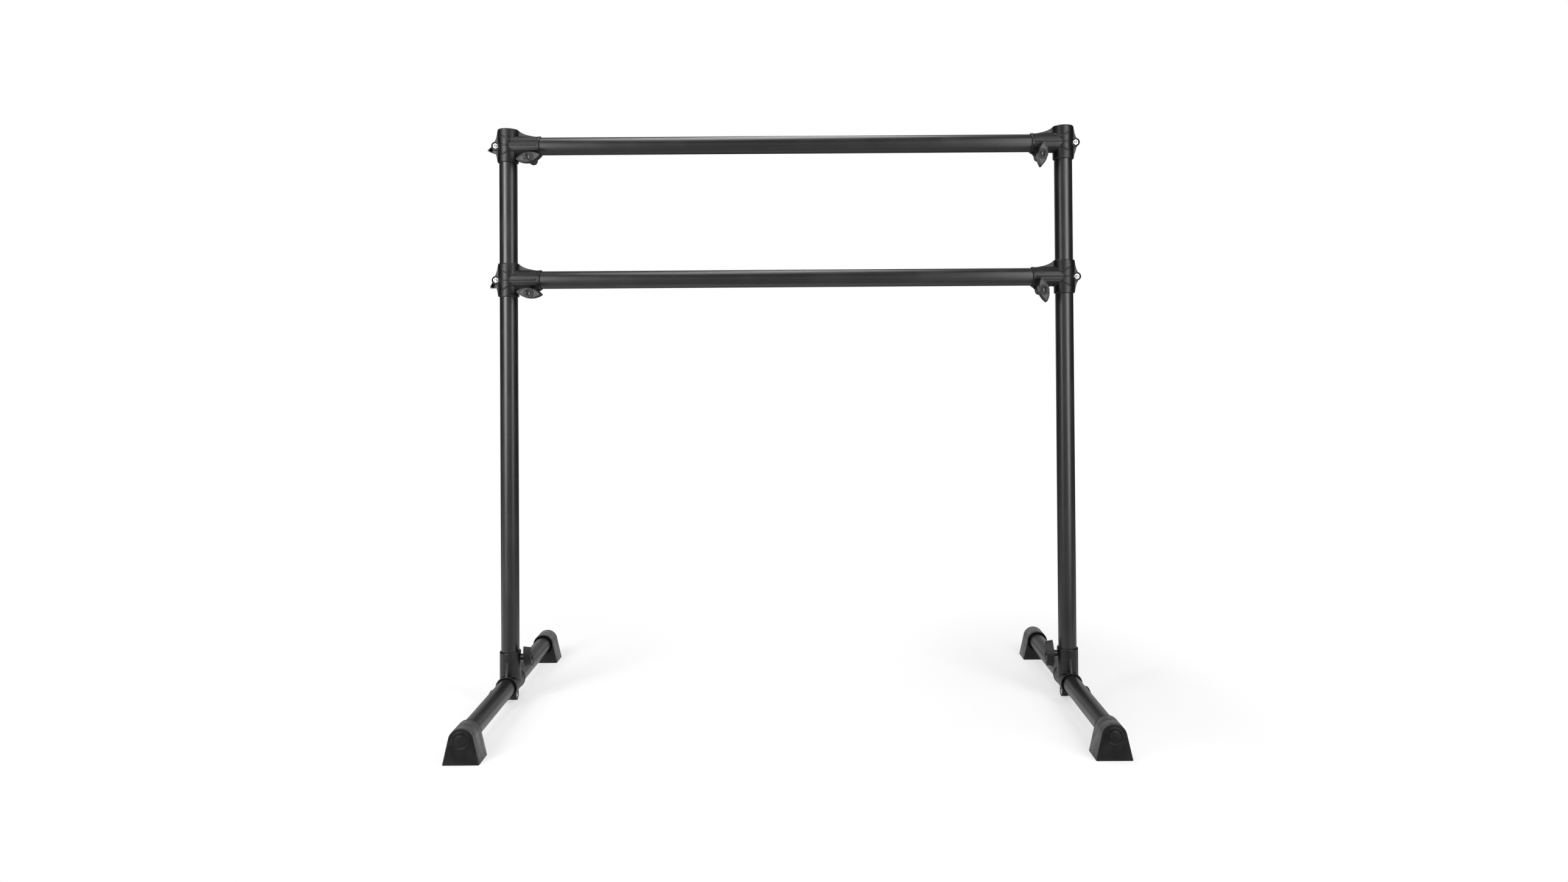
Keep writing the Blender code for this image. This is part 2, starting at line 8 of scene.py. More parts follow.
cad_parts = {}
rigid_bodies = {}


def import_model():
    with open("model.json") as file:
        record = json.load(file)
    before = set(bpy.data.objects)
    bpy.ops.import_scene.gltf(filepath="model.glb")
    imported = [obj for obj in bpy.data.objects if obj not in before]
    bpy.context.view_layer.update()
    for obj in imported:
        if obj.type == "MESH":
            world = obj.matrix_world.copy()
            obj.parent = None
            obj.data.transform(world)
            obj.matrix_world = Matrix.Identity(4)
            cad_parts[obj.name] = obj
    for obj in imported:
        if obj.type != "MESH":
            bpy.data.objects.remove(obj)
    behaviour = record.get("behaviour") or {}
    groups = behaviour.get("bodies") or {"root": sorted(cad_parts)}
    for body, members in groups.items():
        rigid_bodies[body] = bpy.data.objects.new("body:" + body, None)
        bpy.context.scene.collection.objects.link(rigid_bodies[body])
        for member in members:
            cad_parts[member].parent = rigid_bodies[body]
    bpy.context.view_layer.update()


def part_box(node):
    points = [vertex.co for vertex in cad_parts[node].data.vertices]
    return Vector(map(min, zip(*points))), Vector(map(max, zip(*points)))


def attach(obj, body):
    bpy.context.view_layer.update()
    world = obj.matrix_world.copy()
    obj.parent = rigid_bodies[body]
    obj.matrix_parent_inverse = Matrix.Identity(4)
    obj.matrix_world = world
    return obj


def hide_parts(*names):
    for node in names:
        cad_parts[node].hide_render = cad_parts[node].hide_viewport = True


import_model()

print("frame loaded")

scene = bpy.context.scene
scene.view_settings.view_transform = "Standard"

# Places that the pieces are built round, taken from the frame
bothSides = (("left", -1.0), ("right", 1.0))
rows = ("top", "lower")
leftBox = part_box("left_upright")
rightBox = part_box("right_upright")
postX = (rightBox[0].x + rightBox[1].x) / 2
postTop = leftBox[1].z
postBottom = leftBox[0].z
barHeight = {row: (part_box(row + "_bar")[0].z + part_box(row + "_bar")[1].z) / 2 for row in rows}
baseHeight = (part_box("left_base_tube")[0].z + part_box("left_base_tube")[1].z) / 2
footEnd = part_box("left_rear_foot")[1].y


def linked(name, data):
    made = bpy.data.objects.new(name, data)
    scene.collection.objects.link(made)
    return made


# Camera, at the photograph's own place and lens
camera = {
    "place": (0.0244, -2.0570, 0.7637),
    "turn": (90.5000, 0.3900, -0.0266),
    "imageWidth": 2576.0,
    "imageHeight": 1449.0,
    "focalPixels": 1568.7,
    "centreX": 1312.2,
    "centreY": 553.9,
    "sensorWidth": 36.0,
    "clipStart": 0.01,
}
cameraData = bpy.data.cameras.new("photoCamera")
cameraData.sensor_width = camera["sensorWidth"]
cameraData.lens = camera["sensorWidth"] * camera["focalPixels"] / camera["imageWidth"]
cameraData.shift_x = (camera["imageWidth"] / 2 - camera["centreX"]) / camera["imageWidth"]
cameraData.shift_y = (camera["centreY"] - camera["imageHeight"] / 2) / camera["imageWidth"]
cameraData.clip_start = camera["clipStart"]
cameraObject = linked("photoCamera", cameraData)
cameraObject.location = camera["place"]
cameraObject.rotation_euler = [math.radians(a) for a in camera["turn"]]
scene.camera = cameraObject
print("camera placed")


# Small helpers for materials. An input is given as a value, or as another node's output
def addNode(tree, kind, place, inputs=None, **settings):
    node = tree.nodes.new(kind)
    node.location = place
    for name, value in settings.items():
        setattr(node, name, value)
    for label, value in (inputs or {}).items():
        if isinstance(value, bpy.types.NodeSocket):
            tree.links.new(value, node.inputs[label])
        else:
            node.inputs[label].default_value = value
    return node


def calculate(tree, operation, place, first, second=None, **settings):
    values = {0: first} if second is None else {0: first, 1: second}
    return addNode(tree, "ShaderNodeMath", place, values, operation=operation, **settings).outputs[0]


def remap(tree, place, value, low, high, bottom=0.0, top=1.0, curve="SMOOTHSTEP"):
    values = {"Value": value, "From Min": low, "From Max": high, "To Min": bottom, "To Max": top}
    return addNode(tree, "ShaderNodeMapRange", place, values, interpolation_type=curve).outputs["Result"]


def blend(tree, place, factor, first, second, kind="FLOAT"):
    values = {"Factor": factor, "A": first, "B": second}
    return addNode(tree, "ShaderNodeMix", place, values, data_type=kind).outputs["Result"]


def blendColours(tree, place, factor, first, second):
    ends = [(*end, 1.0) if isinstance(end, tuple) else end for end in (first, second)]
    return blend(tree, place, factor, ends[0], ends[1], "RGBA")


def newGroup(name, inputs, outputs):
    group = bpy.data.node_groups.new(name, "ShaderNodeTree")
    for label, value in inputs.items():
        socket = group.interface.new_socket(name=label, in_out="INPUT", socket_type="NodeSocketFloat")
        socket.default_value = value
    for label in outputs:
        group.interface.new_socket(name=label, in_out="OUTPUT", socket_type="NodeSocketFloat")
    return group


# Moulded or coated skin: fine pits over slow waves, as a height for a Bump node
skinStart = {"Grain Scale": 1500.0, "Grain Depth": 0.6, "Wave Scale": 120.0, "Wave Depth": 0.4}
speckRange = (0.64, 0.74)  # part of the fine noise that shows as specks


def makeSkinGroup():
    group = newGroup("mouldedSkin", skinStart, ("Height", "Speck"))
    inside = addNode(group, "NodeGroupInput", (-900, 0)).outputs
    spot = addNode(group, "ShaderNodeTexCoord", (-900, 300)).outputs["Object"]
    pits = addNode(group, "ShaderNodeTexVoronoi", (-600, 300),
                   {"Vector": spot, "Scale": inside["Grain Scale"], "Smoothness": 0.6}, feature="SMOOTH_F1")
    fine = addNode(group, "ShaderNodeTexNoise", (-600, 0),
                   {"Vector": spot, "Scale": inside["Grain Scale"], "Detail": 4.0, "Roughness": 0.6})
    wave = addNode(group, "ShaderNodeTexNoise", (-600, -300),
                   {"Vector": spot, "Scale": inside["Wave Scale"], "Detail": 2.0})
    both = calculate(group, "ADD", (-380, 150), pits.outputs["Distance"], fine.outputs["Fac"])
    grain = calculate(group, "MULTIPLY", (-180, 150), both, inside["Grain Depth"])
    slow = calculate(group, "MULTIPLY", (-180, -200), wave.outputs["Fac"], inside["Wave Depth"])
    total = calculate(group, "ADD", (50, 50), grain, slow)
    speck = remap(group, (50, -250), fine.outputs["Fac"], *speckRange, curve="LINEAR")
    addNode(group, "NodeGroupOutput", (500, 0), {"Height": total, "Speck": speck})
    return group


# Edges rubbed by handling, and soft patches where a surface has been touched or swept
wearStart = {
    "Edge Start": 0.53, "Edge End": 0.62,
    "Patch Scale": 22.0, "Patch Start": 0.42, "Patch End": 0.68,
}
edgeGain = 1.7  # makes up for the noise that breaks the rubbed edges


def makeWearGroup():
    group = newGroup("handlingWear", wearStart, ("Edge", "Patch"))
    inside = addNode(group, "NodeGroupInput", (-900, 0)).outputs
    spot = addNode(group, "ShaderNodeTexCoord", (-900, 300)).outputs["Object"]
    shape = addNode(group, "ShaderNodeNewGeometry", (-600, 400)).outputs["Pointiness"]
    edge = remap(group, (-300, 400), shape, inside["Edge Start"], inside["Edge End"], curve="LINEAR")
    broken = addNode(group, "ShaderNodeTexNoise", (-600, 150),
                     {"Vector": spot, "Scale": 260.0, "Detail": 5.0})
    uneven = calculate(group, "MULTIPLY", (-50, 300), edge, broken.outputs["Fac"])
    stronger = calculate(group, "MULTIPLY", (150, 300), uneven, edgeGain, use_clamp=True)
    patch = addNode(group, "ShaderNodeTexNoise", (-600, -200),
                    {"Vector": spot, "Scale": inside["Patch Scale"], "Detail": 6.0, "Roughness": 0.55})
    spread = remap(group, (-300, -200), patch.outputs["Fac"], inside["Patch Start"], inside["Patch End"])
    addNode(group, "NodeGroupOutput", (500, 0), {"Edge": stronger, "Patch": spread})
    return group


skinGroup = makeSkinGroup()
wearGroup = makeWearGroup()


# Painted sheen: rubber made paler, and streaked, round its flanks and over its arch, standing in for the
# grazing reflection there; past the turn it is a face across the tube, and keeps its own dark colour
def paintedFlankSheen(tree, flankSheen, colour):
    coords = addNode(tree, "ShaderNodeTexCoord", (-900, 800)).outputs
    stretch = addNode(tree, "ShaderNodeVectorMath", (-720, 1000),
                      {0: coords["Object"], 1: flankSheen["streaks"]}, operation="MULTIPLY")
    streaks = addNode(tree, "ShaderNodeTexNoise", (-540, 1000),
                      {"Vector": stretch.outputs[0], "Scale": 1.0, "Detail": 2.0})
    sheenStreaks = remap(tree, (-450, 1000), streaks.outputs[0], *flankSheen["sheenStreaks"])
    paintedSheen = blendColours(tree, (-300, 600), sheenStreaks, flankSheen["dark"], flankSheen["light"])
    parts = addNode(tree, "ShaderNodeSeparateXYZ", (-720, 800), {0: coords["Normal"]}).outputs
    across = calculate(tree, "ABSOLUTE", (-540, 800), parts["Y"])
    face = remap(tree, (-360, 800), across, *flankSheen["turn"])
    return blendColours(tree, (-160, 600), face, paintedSheen, colour)


# A finish from the two groups; the values of each stand in its own dictionary
def makeFinish(name, finish):
    made = bpy.data.materials.new(name)
    made.use_nodes = True
    tree = made.node_tree
    tree.nodes.clear()
    skin = addNode(tree, "ShaderNodeGroup", (-700, -300), finish["skin"], node_tree=skinGroup).outputs
    wear = addNode(tree, "ShaderNodeGroup", (-700, 200), finish["wear"], node_tree=wearGroup).outputs
    colour = blendColours(tree, (-300, 300), wear["Patch"], finish["dark"], finish["light"])
    # Painted sheen: a finish with flank settings gets paler flanks that stand in for grazing reflection
    if "flankSheen" in finish:
        colour = paintedFlankSheen(tree, finish["flankSheen"], colour)
    specked = blendColours(tree, (-50, 300), skin["Speck"], colour, finish["speck"])
    edged = blendColours(tree, (200, 300), wear["Edge"], specked, finish["edge"])
    rough = remap(tree, (-50, 0), wear["Patch"], 0.0, 1.0, *finish["rough"], curve="LINEAR")
    polished = blend(tree, (200, 0), wear["Edge"], rough, finish["edgeRough"])
    bump = addNode(tree, "ShaderNodeBump", (200, -300),
                   {"Height": skin["Height"], "Strength": finish["bump"], "Distance": finish["bumpDepth"]})
    shader = addNode(tree, "ShaderNodeBsdfPrincipled", (600, 0),
                     {"Base Color": edged, "Roughness": polished, "Normal": bump.outputs["Normal"],
                      "Metallic": finish.get("metallic", 0.0),
                      "Specular IOR Level": finish.get("specular", 0.5)})
    addNode(tree, "ShaderNodeOutputMaterial", (900, 0), {"Surface": shader.outputs["BSDF"]})
    return made


# Powder coat on the steel tubes: satin, with a faint orange peel
powderCoat = makeFinish("powderCoat", {
    "dark": (0.0055, 0.0055, 0.006), "light": (0.008, 0.008, 0.0085), "speck": (0.018, 0.018, 0.019),
    "edge": (0.03, 0.03, 0.03), "rough": (0.33, 0.38), "edgeRough": 0.30, "specular": 0.5,
    "bump": 0.40, "bumpDepth": 0.00012,
    "skin": {"Grain Scale": 1000.0, "Grain Depth": 0.6, "Wave Scale": 260.0, "Wave Depth": 0.5},
    "wear": {"Patch Scale": 14.0},
})

# Moulded plastic of the tees and base fittings: matte, with a fine spark-eroded grain
fittingPlastic = makeFinish("fittingPlastic", {
    "dark": (0.002, 0.002, 0.0021), "light": (0.005, 0.005, 0.0051), "speck": (0.014, 0.014, 0.0143),
    "edge": (0.030, 0.030, 0.0304), "rough": (0.38, 0.48), "edgeRough": 0.34, "specular": 0.36,
    "bump": 0.60, "bumpDepth": 0.00024,
    "skin": {"Grain Scale": 1300.0, "Grain Depth": 0.6, "Wave Scale": 340.0, "Wave Depth": 0.9},
    "wear": {"Patch Scale": 30.0},
})

knobPlastic = makeFinish("knobPlastic", {
    "dark": (0.004, 0.004, 0.0041), "light": (0.008, 0.008, 0.0082), "speck": (0.018, 0.018, 0.0185),
    "edge": (0.045, 0.045, 0.0455), "rough": (0.34, 0.42), "edgeRough": 0.32, "specular": 0.48,
    "bump": 0.30, "bumpDepth": 0.00010,
    "skin": {"Grain Scale": 1700.0, "Grain Depth": 0.6, "Wave Scale": 180.0, "Wave Depth": 0.4},
    "wear": {"Patch Scale": 45.0},
})

capPlastic = makeFinish("capPlastic", {
    "dark": (0.007, 0.007, 0.0072), "light": (0.011, 0.011, 0.0112), "speck": (0.022, 0.022, 0.0225),
    "edge": (0.035, 0.035, 0.035), "rough": (0.44, 0.54), "edgeRough": 0.38, "specular": 0.40,
    "bump": 0.30, "bumpDepth": 0.00010,
    "skin": {"Grain Scale": 1600.0, "Grain Depth": 0.6, "Wave Scale": 170.0, "Wave Depth": 0.4},
    "wear": {"Patch Scale": 40.0},
})

# Grey-black rubber of the feet: scuffed and blotched, with painted sheen making its flanks paler
footRubber = makeFinish("footRubber", {
    "dark": (0.0015, 0.0015, 0.0015), "light": (0.006, 0.006, 0.006), "speck": (0.050, 0.050, 0.050),
    "edge": (0.030, 0.030, 0.030), "rough": (0.38, 0.50), "edgeRough": 0.34, "specular": 0.30,
    # Painted sheen on the flanks: pale colours that stand in for grazing reflection
    "flankSheen": {"dark": (0.042, 0.042, 0.0425), "light": (0.110, 0.110, 0.111),
              "streaks": (22.0, 190.0, 22.0), "sheenStreaks": (0.42, 0.68), "turn": (0.04, 0.24)},
    "bump": 0.55, "bumpDepth": 0.00020,
    "skin": {"Grain Scale": 900.0, "Grain Depth": 0.6, "Wave Scale": 120.0, "Wave Depth": 0.8},
    "wear": {"Patch Scale": 70.0, "Patch Start": 0.36, "Patch End": 0.70},
})

# Bright zinc plate of the nuts and bolts
zincPlate = makeFinish("zincPlate", {
    "dark": (0.42, 0.42, 0.41), "light": (0.56, 0.56, 0.55), "speck": (0.34, 0.34, 0.34),
    "edge": (0.70, 0.70, 0.70), "rough": (0.26, 0.38), "edgeRough": 0.24, "metallic": 1.0,
    "bump": 0.20, "bumpDepth": 0.00005,
    "skin": {"Grain Scale": 2600.0, "Grain Depth": 0.6, "Wave Scale": 420.0, "Wave Depth": 0.4},
    "wear": {"Patch Scale": 160.0},
})

# Near-black steel of the inserts and locking screws
darkSteel = makeFinish("darkSteel", {
    "dark": (0.020, 0.020, 0.021), "light": (0.045, 0.045, 0.046), "speck": (0.015, 0.015, 0.015),
    "edge": (0.12, 0.12, 0.12), "rough": (0.34, 0.46), "edgeRough": 0.28, "metallic": 1.0,
    "bump": 0.20, "bumpDepth": 0.00005,
    "skin": {"Grain Scale": 2600.0, "Grain Depth": 0.6, "Wave Scale": 420.0, "Wave Depth": 0.4},
    "wear": {"Patch Scale": 160.0},
})
print("materials made")


# Solids
axisTurn = {
    "X": Matrix.Rotation(math.pi / 2, 4, "Y"),
    "Y": Matrix.Rotation(-math.pi / 2, 4, "X"),
    "Z": Matrix.Identity(4),
}
mergeDistance = 1e-7
spare = 0.002  # how far a cutter stands out of the face that it cuts
smallSpare = 0.001  # the same on the knobs, the nuts and the groove
roundSides = 96


# A point so far along an axis, with its other two coordinates in their order
def onAxis(axis, along, across):
    u, v = across
    return {"X": (along, u, v), "Y": (u, along, v), "Z": (u, v, along)}[axis]


def toObject(bm):
    bmesh.ops.remove_doubles(bm, verts=bm.verts, dist=mergeDistance)
    bmesh.ops.recalc_face_normals(bm, faces=bm.faces)
    mesh = bpy.data.meshes.new("solid")
    bm.to_mesh(mesh)
    bm.free()
    return linked("solid", mesh)


def rodSolid(radius, low, high, axis, centre=(0.0, 0.0), sides=64):
    bm = bmesh.new()
    bmesh.ops.create_cone(bm, cap_ends=True, segments=sides, radius1=radius, radius2=radius,
                          depth=high - low)
    bmesh.ops.transform(bm, matrix=axisTurn[axis], verts=bm.verts)
    bmesh.ops.translate(bm, verts=bm.verts, vec=onAxis(axis, (low + high) / 2, centre))
    return toObject(bm)


# A profile of radius and height, drawn as a chain of edges
def drawnLine(profile):
    bm = bmesh.new()
    line = [bm.verts.new((radius, 0.0, height)) for radius, height in profile]
    for near, far in zip(line, line[1:]):
        bm.edges.new((near, far))
    return bm


def turnedSolid(profile, axis, sides=roundSides):
    bm = drawnLine(profile)
    bmesh.ops.spin(bm, geom=bm.verts[:] + bm.edges[:], cent=(0, 0, 0), axis=(0, 0, 1),
                   angle=2 * math.pi, steps=sides, use_merge=True)
    bmesh.ops.transform(bm, matrix=axisTurn[axis], verts=bm.verts)
    return toObject(bm)


def extruded(outline, low, high, axis):
    bm = bmesh.new()
    face = bm.faces.new([bm.verts.new(onAxis(axis, low, spot)) for spot in outline])
    raised = bmesh.ops.extrude_face_region(bm, geom=[face])["geom"]
    moved = [g for g in raised if isinstance(g, bmesh.types.BMVert)]
    bmesh.ops.translate(bm, verts=moved, vec=onAxis(axis, high - low, (0, 0)))
    return bm, moved


def slabSolid(outline, low, high, axis):
    return toObject(extruded(outline, low, high, axis)[0])


def arc(radius, steps, centre, start, sweep):
    return [(centre[0] + radius * math.cos(start + sweep * i / steps),
             centre[1] + radius * math.sin(start + sweep * i / steps)) for i in range(steps + 1)]


def bend(start, pull, end, steps=16):
    points = []
    for i in range(steps + 1):
        t = i / steps
        a, b, c = (1 - t) ** 2, 2 * t * (1 - t), t * t
        points.append((a * start[0] + b * pull[0] + c * end[0], a * start[1] + b * pull[1] + c * end[1]))
    return points


def oblong(left, right, low, high):
    return [(left, low), (right, low), (right, high), (left, high)]


def hexOutline(flats, centre, start=math.pi / 2):
    return arc(flats / 2 / math.cos(math.pi / 6), 6, centre, start, 2 * math.pi)[:6]


# The rounded corner of a turned end, from its side to its flat
def roundedRim(radius, end, rim):
    return [(radius, end - rim), (radius - rim * 0.35, end - rim * 0.3), (radius - rim, end)]


# The flared end of a round cutter, which breaks the edge of its bore
def boreMouth(bore, end, deep=0.0010, flare=0.0006):
    return [(bore, end - deep), (bore + flare, end), (bore + flare, end + spare), (0, end + spare)]


# An outline's other half, run the other way so that the two join up
def mirrored(points):
    return [(u, -v) for u, v in reversed(points)]


def flipped(points):
    return [(-u, v) for u, v in reversed(points)]


def applied(base, prepare):
    prepare(base)
    graph = bpy.context.evaluated_depsgraph_get()
    mesh = bpy.data.meshes.new_from_object(base.evaluated_get(graph))
    bpy.data.objects.remove(base, do_unlink=True)
    return linked("solid", mesh)


def combined(base, tools, operation):
    def prepare(target):
        for tool in tools:
            step = target.modifiers.new("step", "BOOLEAN")
            step.solver = "MANIFOLD"
            step.operation = operation
            step.object = tool
    made = applied(base, prepare)
    for tool in tools:
        bpy.data.objects.remove(tool, do_unlink=True)
    return made


# Moulded pieces: remeshed so that inside and outside corners take a small radius
def moulded(solid, values):
    def prepare(target):
        remesh = target.modifiers.new("skin", "REMESH")
        remesh.mode = "VOXEL"
        remesh.voxel_size = values["voxel"]
        remesh.adaptivity = 0.0
        soften = target.modifiers.new("soften", "SMOOTH")
        soften.factor = 0.5
        soften.iterations = values["rounds"]
        thin = target.modifiers.new("thin", "DECIMATE")
        thin.ratio = values["keep"]
    made = applied(solid, prepare)
    print("moulded", len(made.data.polygons), "faces")
    return made


def piece(name, source, place, finish, body, nodes, sharp=None):
    mesh = source.data.copy()
    mesh.name = name
    mesh.transform(place)
    if place.to_3x3().determinant() < 0:
        mesh.flip_normals()
    mesh.materials.clear()
    mesh.materials.append(finish)
    mesh.shade_smooth()
    if sharp is not None:
        mesh.set_sharp_from_angle(angle=math.radians(sharp))
    made = linked(name, mesh)
    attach(made, body)
    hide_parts(*nodes)


# A place whose Z points outward and whose X points along first, at right angles to it
def facing(spot, outward, first):
    z = Vector(outward).normalized()
    x = Vector(first).normalized()
    turn = Matrix((x, z.cross(x), z)).transposed().to_4x4()
    return Matrix.Translation(spot) @ turn


# Tubes: uprights, bars and the short cross tubes of the bases
tube = {"radius": 0.0190, "wall": 0.0015, "edge": 0.0005, "band": 0.0020, "sharp": 30}


def tubeSolid(length, axis):
    outer, edge, half = tube["radius"], tube["edge"], length / 2
    inner, start = outer - tube["wall"], half - edge - tube["band"]
    rim = [(outer, start), (outer, half - edge), (outer - edge * 0.3, half - edge * 0.3),
           (outer - edge, half), (inner + edge * 0.4, half), (inner, half - edge * 0.4), (inner, start)]
    profile = mirrored(rim) + rim
    return turnedSolid(profile + profile[:1], axis)


upright = tubeSolid(postTop - postBottom, "Z")
uprightMiddle = (postTop + postBottom) / 2
for side, way in bothSides:
    piece(side + "Upright", upright, Matrix.Translation((way * postX, 0, uprightMiddle)), powderCoat,
          "frame", [side + "_upright"], tube["sharp"])
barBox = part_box("top_bar")
bar = tubeSolid(barBox[1].x - barBox[0].x, "X")
for row in rows:
    piece(row + "Bar", bar, Matrix.Translation((0, 0, barHeight[row])), powderCoat,
          row + "_level", [row + "_bar"], tube["sharp"])
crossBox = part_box("left_base_tube")
cross = tubeSolid(crossBox[1].y - crossBox[0].y, "Y")
for side, way in bothSides:
    piece(side + "CrossTube", cross, Matrix.Translation((way * postX, 0, baseHeight)), powderCoat,
          side + "_cross", [side + "_base_tube"], tube["sharp"])
print("tubes made")

# Plugs in the tops of the uprights
cap = {"radius": 0.0190, "plug": 0.0172, "depth": 0.0120, "gap": 0.0003, "crown": 0.0019, "sharp": 40}


def makeCap():
    plug, low, gap, crown, edge = cap["plug"], -cap["depth"], cap["gap"], cap["crown"], cap["radius"]
    stem = [(0.0, low), (plug - 0.0006, low), (plug, low + 0.0006), (plug, gap)]
    head = [(edge - 0.0002, gap), (edge, gap + 0.0002), (edge, 0.0008), (edge - 0.0003, 0.0012),
            (edge - 0.0012, 0.0014), (edge - 0.0050, 0.0017), (0.0100, crown - 0.00002), (0.0, crown)]
    return turnedSolid(stem + head, "Z")


capSolid = makeCap()
for side, way in bothSides:
    piece(side + "Cap", capSolid, Matrix.Translation((way * postX, 0, postTop)), capPlastic,
          "frame", [side + "_upright_cap"], cap["sharp"])
print("caps made")

# Tee fitting, built for the left upright: the upright along Z, the bar towards +X
tee = {
    "runRadius": 0.0219, "runHalf": 0.0362, "branchRadius": 0.0210, "reach": 0.0710,
    "mouthRadius": 0.0216, "mouthLength": 0.0050, "bore": 0.0195, "branchFloor": 0.0237,
    "slit": 0.0024, "rim": 0.0018, "webHalf": 0.0042, "gussetHalf": 0.0024,
    "slitStart": 0.0262, "earRoot": 0.0120, "webRoot": 0.0150,
    "earHalf": 0.0104, "earRadius": 0.0092, "postEarX": -0.0250, "barEarX": 0.0520, "barEarZ": -0.0295,
    "boltHole": 0.0033, "pocketFlats": 0.0106, "pocketDepth": 0.0055,
    "leadRadius": 0.0072, "leadDepth": 0.0024,
    "ribHeight": 0.0013, "ribWidth": 0.0021, "ribInset": 0.0020, "ribStart": -0.0110, "ribEnd": 0.0640,
    "backRibStart": 0.0060, "ribDepth": 0.0300,
    "voxel": 0.00050, "rounds": 3, "keep": 0.40,
}


def ribBand(path, width):
    left, right = [], []
    for i, spot in enumerate(path):
        near = path[max(i - 1, 0)]
        far = path[min(i + 1, len(path) - 1)]
        along = Vector((far[0] - near[0], far[1] - near[1])).normalized() * (width / 2)
        left.append((spot[0] - along.y, spot[1] + along.x))
        right.append((spot[0] + along.y, spot[1] - along.x))
    return left + right[::-1]


# Ribs: bands cut through a skin a little larger than the two sleeves. At the back the middle one
# starts late, clear of the knob's wing
def teeRibs(run, branch, half, ringX):
    start, end, back, inset = tee["ribStart"], tee["ribEnd"], tee["ribDepth"], tee["ribInset"]
    rise = [(end, 0.0103), (0.030, 0.0103)] + bend((0.013, 0.0103), (0.002, 0.0112), (start, 0.0245), 20)
    fall = [(end, -0.0112), (0.030, -0.0112)]
    fall += bend((0.012, -0.0112), (0.002, -0.0118), (start, -0.0245), 20)
    paths = (([(start, 0.0), (end, 0.0)], -back, 0.0), ([(tee["backRibStart"], 0.0), (end, 0.0)], 0.0, back),
             (rise, -back, back), (fall, -back, back))
    ribs = []
    for path, low, high in paths:
        band = slabSolid(ribBand(path, tee["ribWidth"]), low, high, "Y")
        along = rodSolid(run + tee["ribHeight"], -half + inset, half - inset, "Z", sides=roundSides)
        across = rodSolid(branch + tee["ribHeight"], inset, ringX, "X", sides=roundSides)
        ribs.append(combined(band, [combined(along, [across], "UNION")], "INTERSECT"))
    return ribs


def makeTee():
    t = tee
    half, reach, slit, web = t["runHalf"], t["reach"], t["slit"] / 2, t["webHalf"]
    run, branch, mouth = t["runRadius"], t["branchRadius"], t["mouthRadius"]
    ringX = reach - t["mouthLength"]
    side = roundedRim(run, half, t["rim"]) + [(0, half)]
    body = turnedSolid(mirrored(side) + side, "Z")
    parts = [turnedSolid([(0, 0.002), (branch, 0.002), (branch, ringX), (mouth, ringX + 0.0003),
                          (mouth, reach - 0.0009), (mouth - 0.0009, reach), (0, reach)], "X")]

    # The ear beside the upright and its web, then the ear under the bar and its web, then the gusset
    earHalf, ear, earRoot, webRoot = t["earHalf"], t["earRadius"], t["earRoot"], t["webRoot"]
    rear = arc(ear, 32, (t["postEarX"], 0), math.pi / 2, math.pi)
    parts.append(slabSolid(rear + [(-earRoot, -ear), (-earRoot, ear)], -earHalf, earHalf, "Y"))
    webTop = half - 0.0015
    upper = bend((t["postEarX"] - 0.0078, 0.0048), (-0.0248, 0.0125), (-run - 0.0004, webTop))
    parts.append(slabSolid(upper + [(-webRoot, webTop), (-webRoot, -webTop)] + mirrored(upper),
                           -web, web, "Y"))
    earX, earZ = t["barEarX"], t["barEarZ"]
    under = arc(ear, 32, (earX, earZ), math.pi, math.pi)
    parts.append(slabSolid(under + [(earX + ear, -earRoot), (earX - ear, -earRoot)],
                           -earHalf, earHalf, "Y"))
    inner = bend((0.0290, -0.0205), (0.0400, -0.0225), (earX - 0.0072, earZ - 0.0050))
    webEnd = reach - 0.0006
    outer = bend((earX + 0.0078, earZ - 0.0045), (0.0640, -0.0240), (webEnd, -0.0212))
    parts.append(slabSolid([(0.0290, -webRoot)] + inner + outer + [(webEnd, -webRoot)], -web, web, "Y"))
    crestTop, crestEnd = half - 0.0010, 0.0585
    crest = bend((0.0216, crestTop), (0.0315, 0.0248), (crestEnd, 0.0212), 24)
    parts.append(slabSolid(crest + [(crestEnd, webRoot), (earRoot, webRoot), (earRoot, crestTop)],
                           -t["gussetHalf"], t["gussetHalf"], "Y"))
    body = combined(body, parts + teeRibs(run, branch, half, ringX), "UNION")

    # The bores, the slits, and a bolt's hole with its nut's pocket in each ear
    bore, floorX = t["bore"], t["branchFloor"]
    cuts = [rodSolid(bore, -0.050, 0.050, "Z", sides=roundSides),
            turnedSolid([(0, floorX), (bore, floorX)] + boreMouth(bore, reach), "X"),
            slabSolid(oblong(-0.050, -webRoot, -0.050, 0.050), -slit, slit, "Y"),
            slabSolid(oblong(t["slitStart"], 0.090, -0.055, -webRoot), -slit, slit, "Y")]
    for centre, face, inward in (((t["postEarX"], 0.0), -earHalf, 1.0), ((earX, earZ), earHalf, -1.0)):
        cuts.append(rodSolid(t["boltHole"], -0.020, 0.020, "Y", centre, 32))
        low, high = sorted((face - inward * spare, face + inward * t["pocketDepth"]))
        cuts.append(slabSolid(hexOutline(t["pocketFlats"], centre), low, high, "Y"))
        low, high = sorted((face - inward * spare, face + inward * t["leadDepth"]))
        cuts.append(rodSolid(t["leadRadius"], low, high, "Y", centre, 48))
    return moulded(combined(body, cuts, "DIFFERENCE"), tee)


teeSolid = makeTee()
for row in rows:
    for side, way in bothSides:
        place = Matrix.Translation((way * postX, 0, barHeight[row])) @ Matrix.Diagonal((-way, 1, 1, 1))
        piece(row + side.capitalize() + "Tee", teeSolid, place, fittingPlastic,
              row + "_level", [row + "_" + side + "_tee"])
print("tees made")

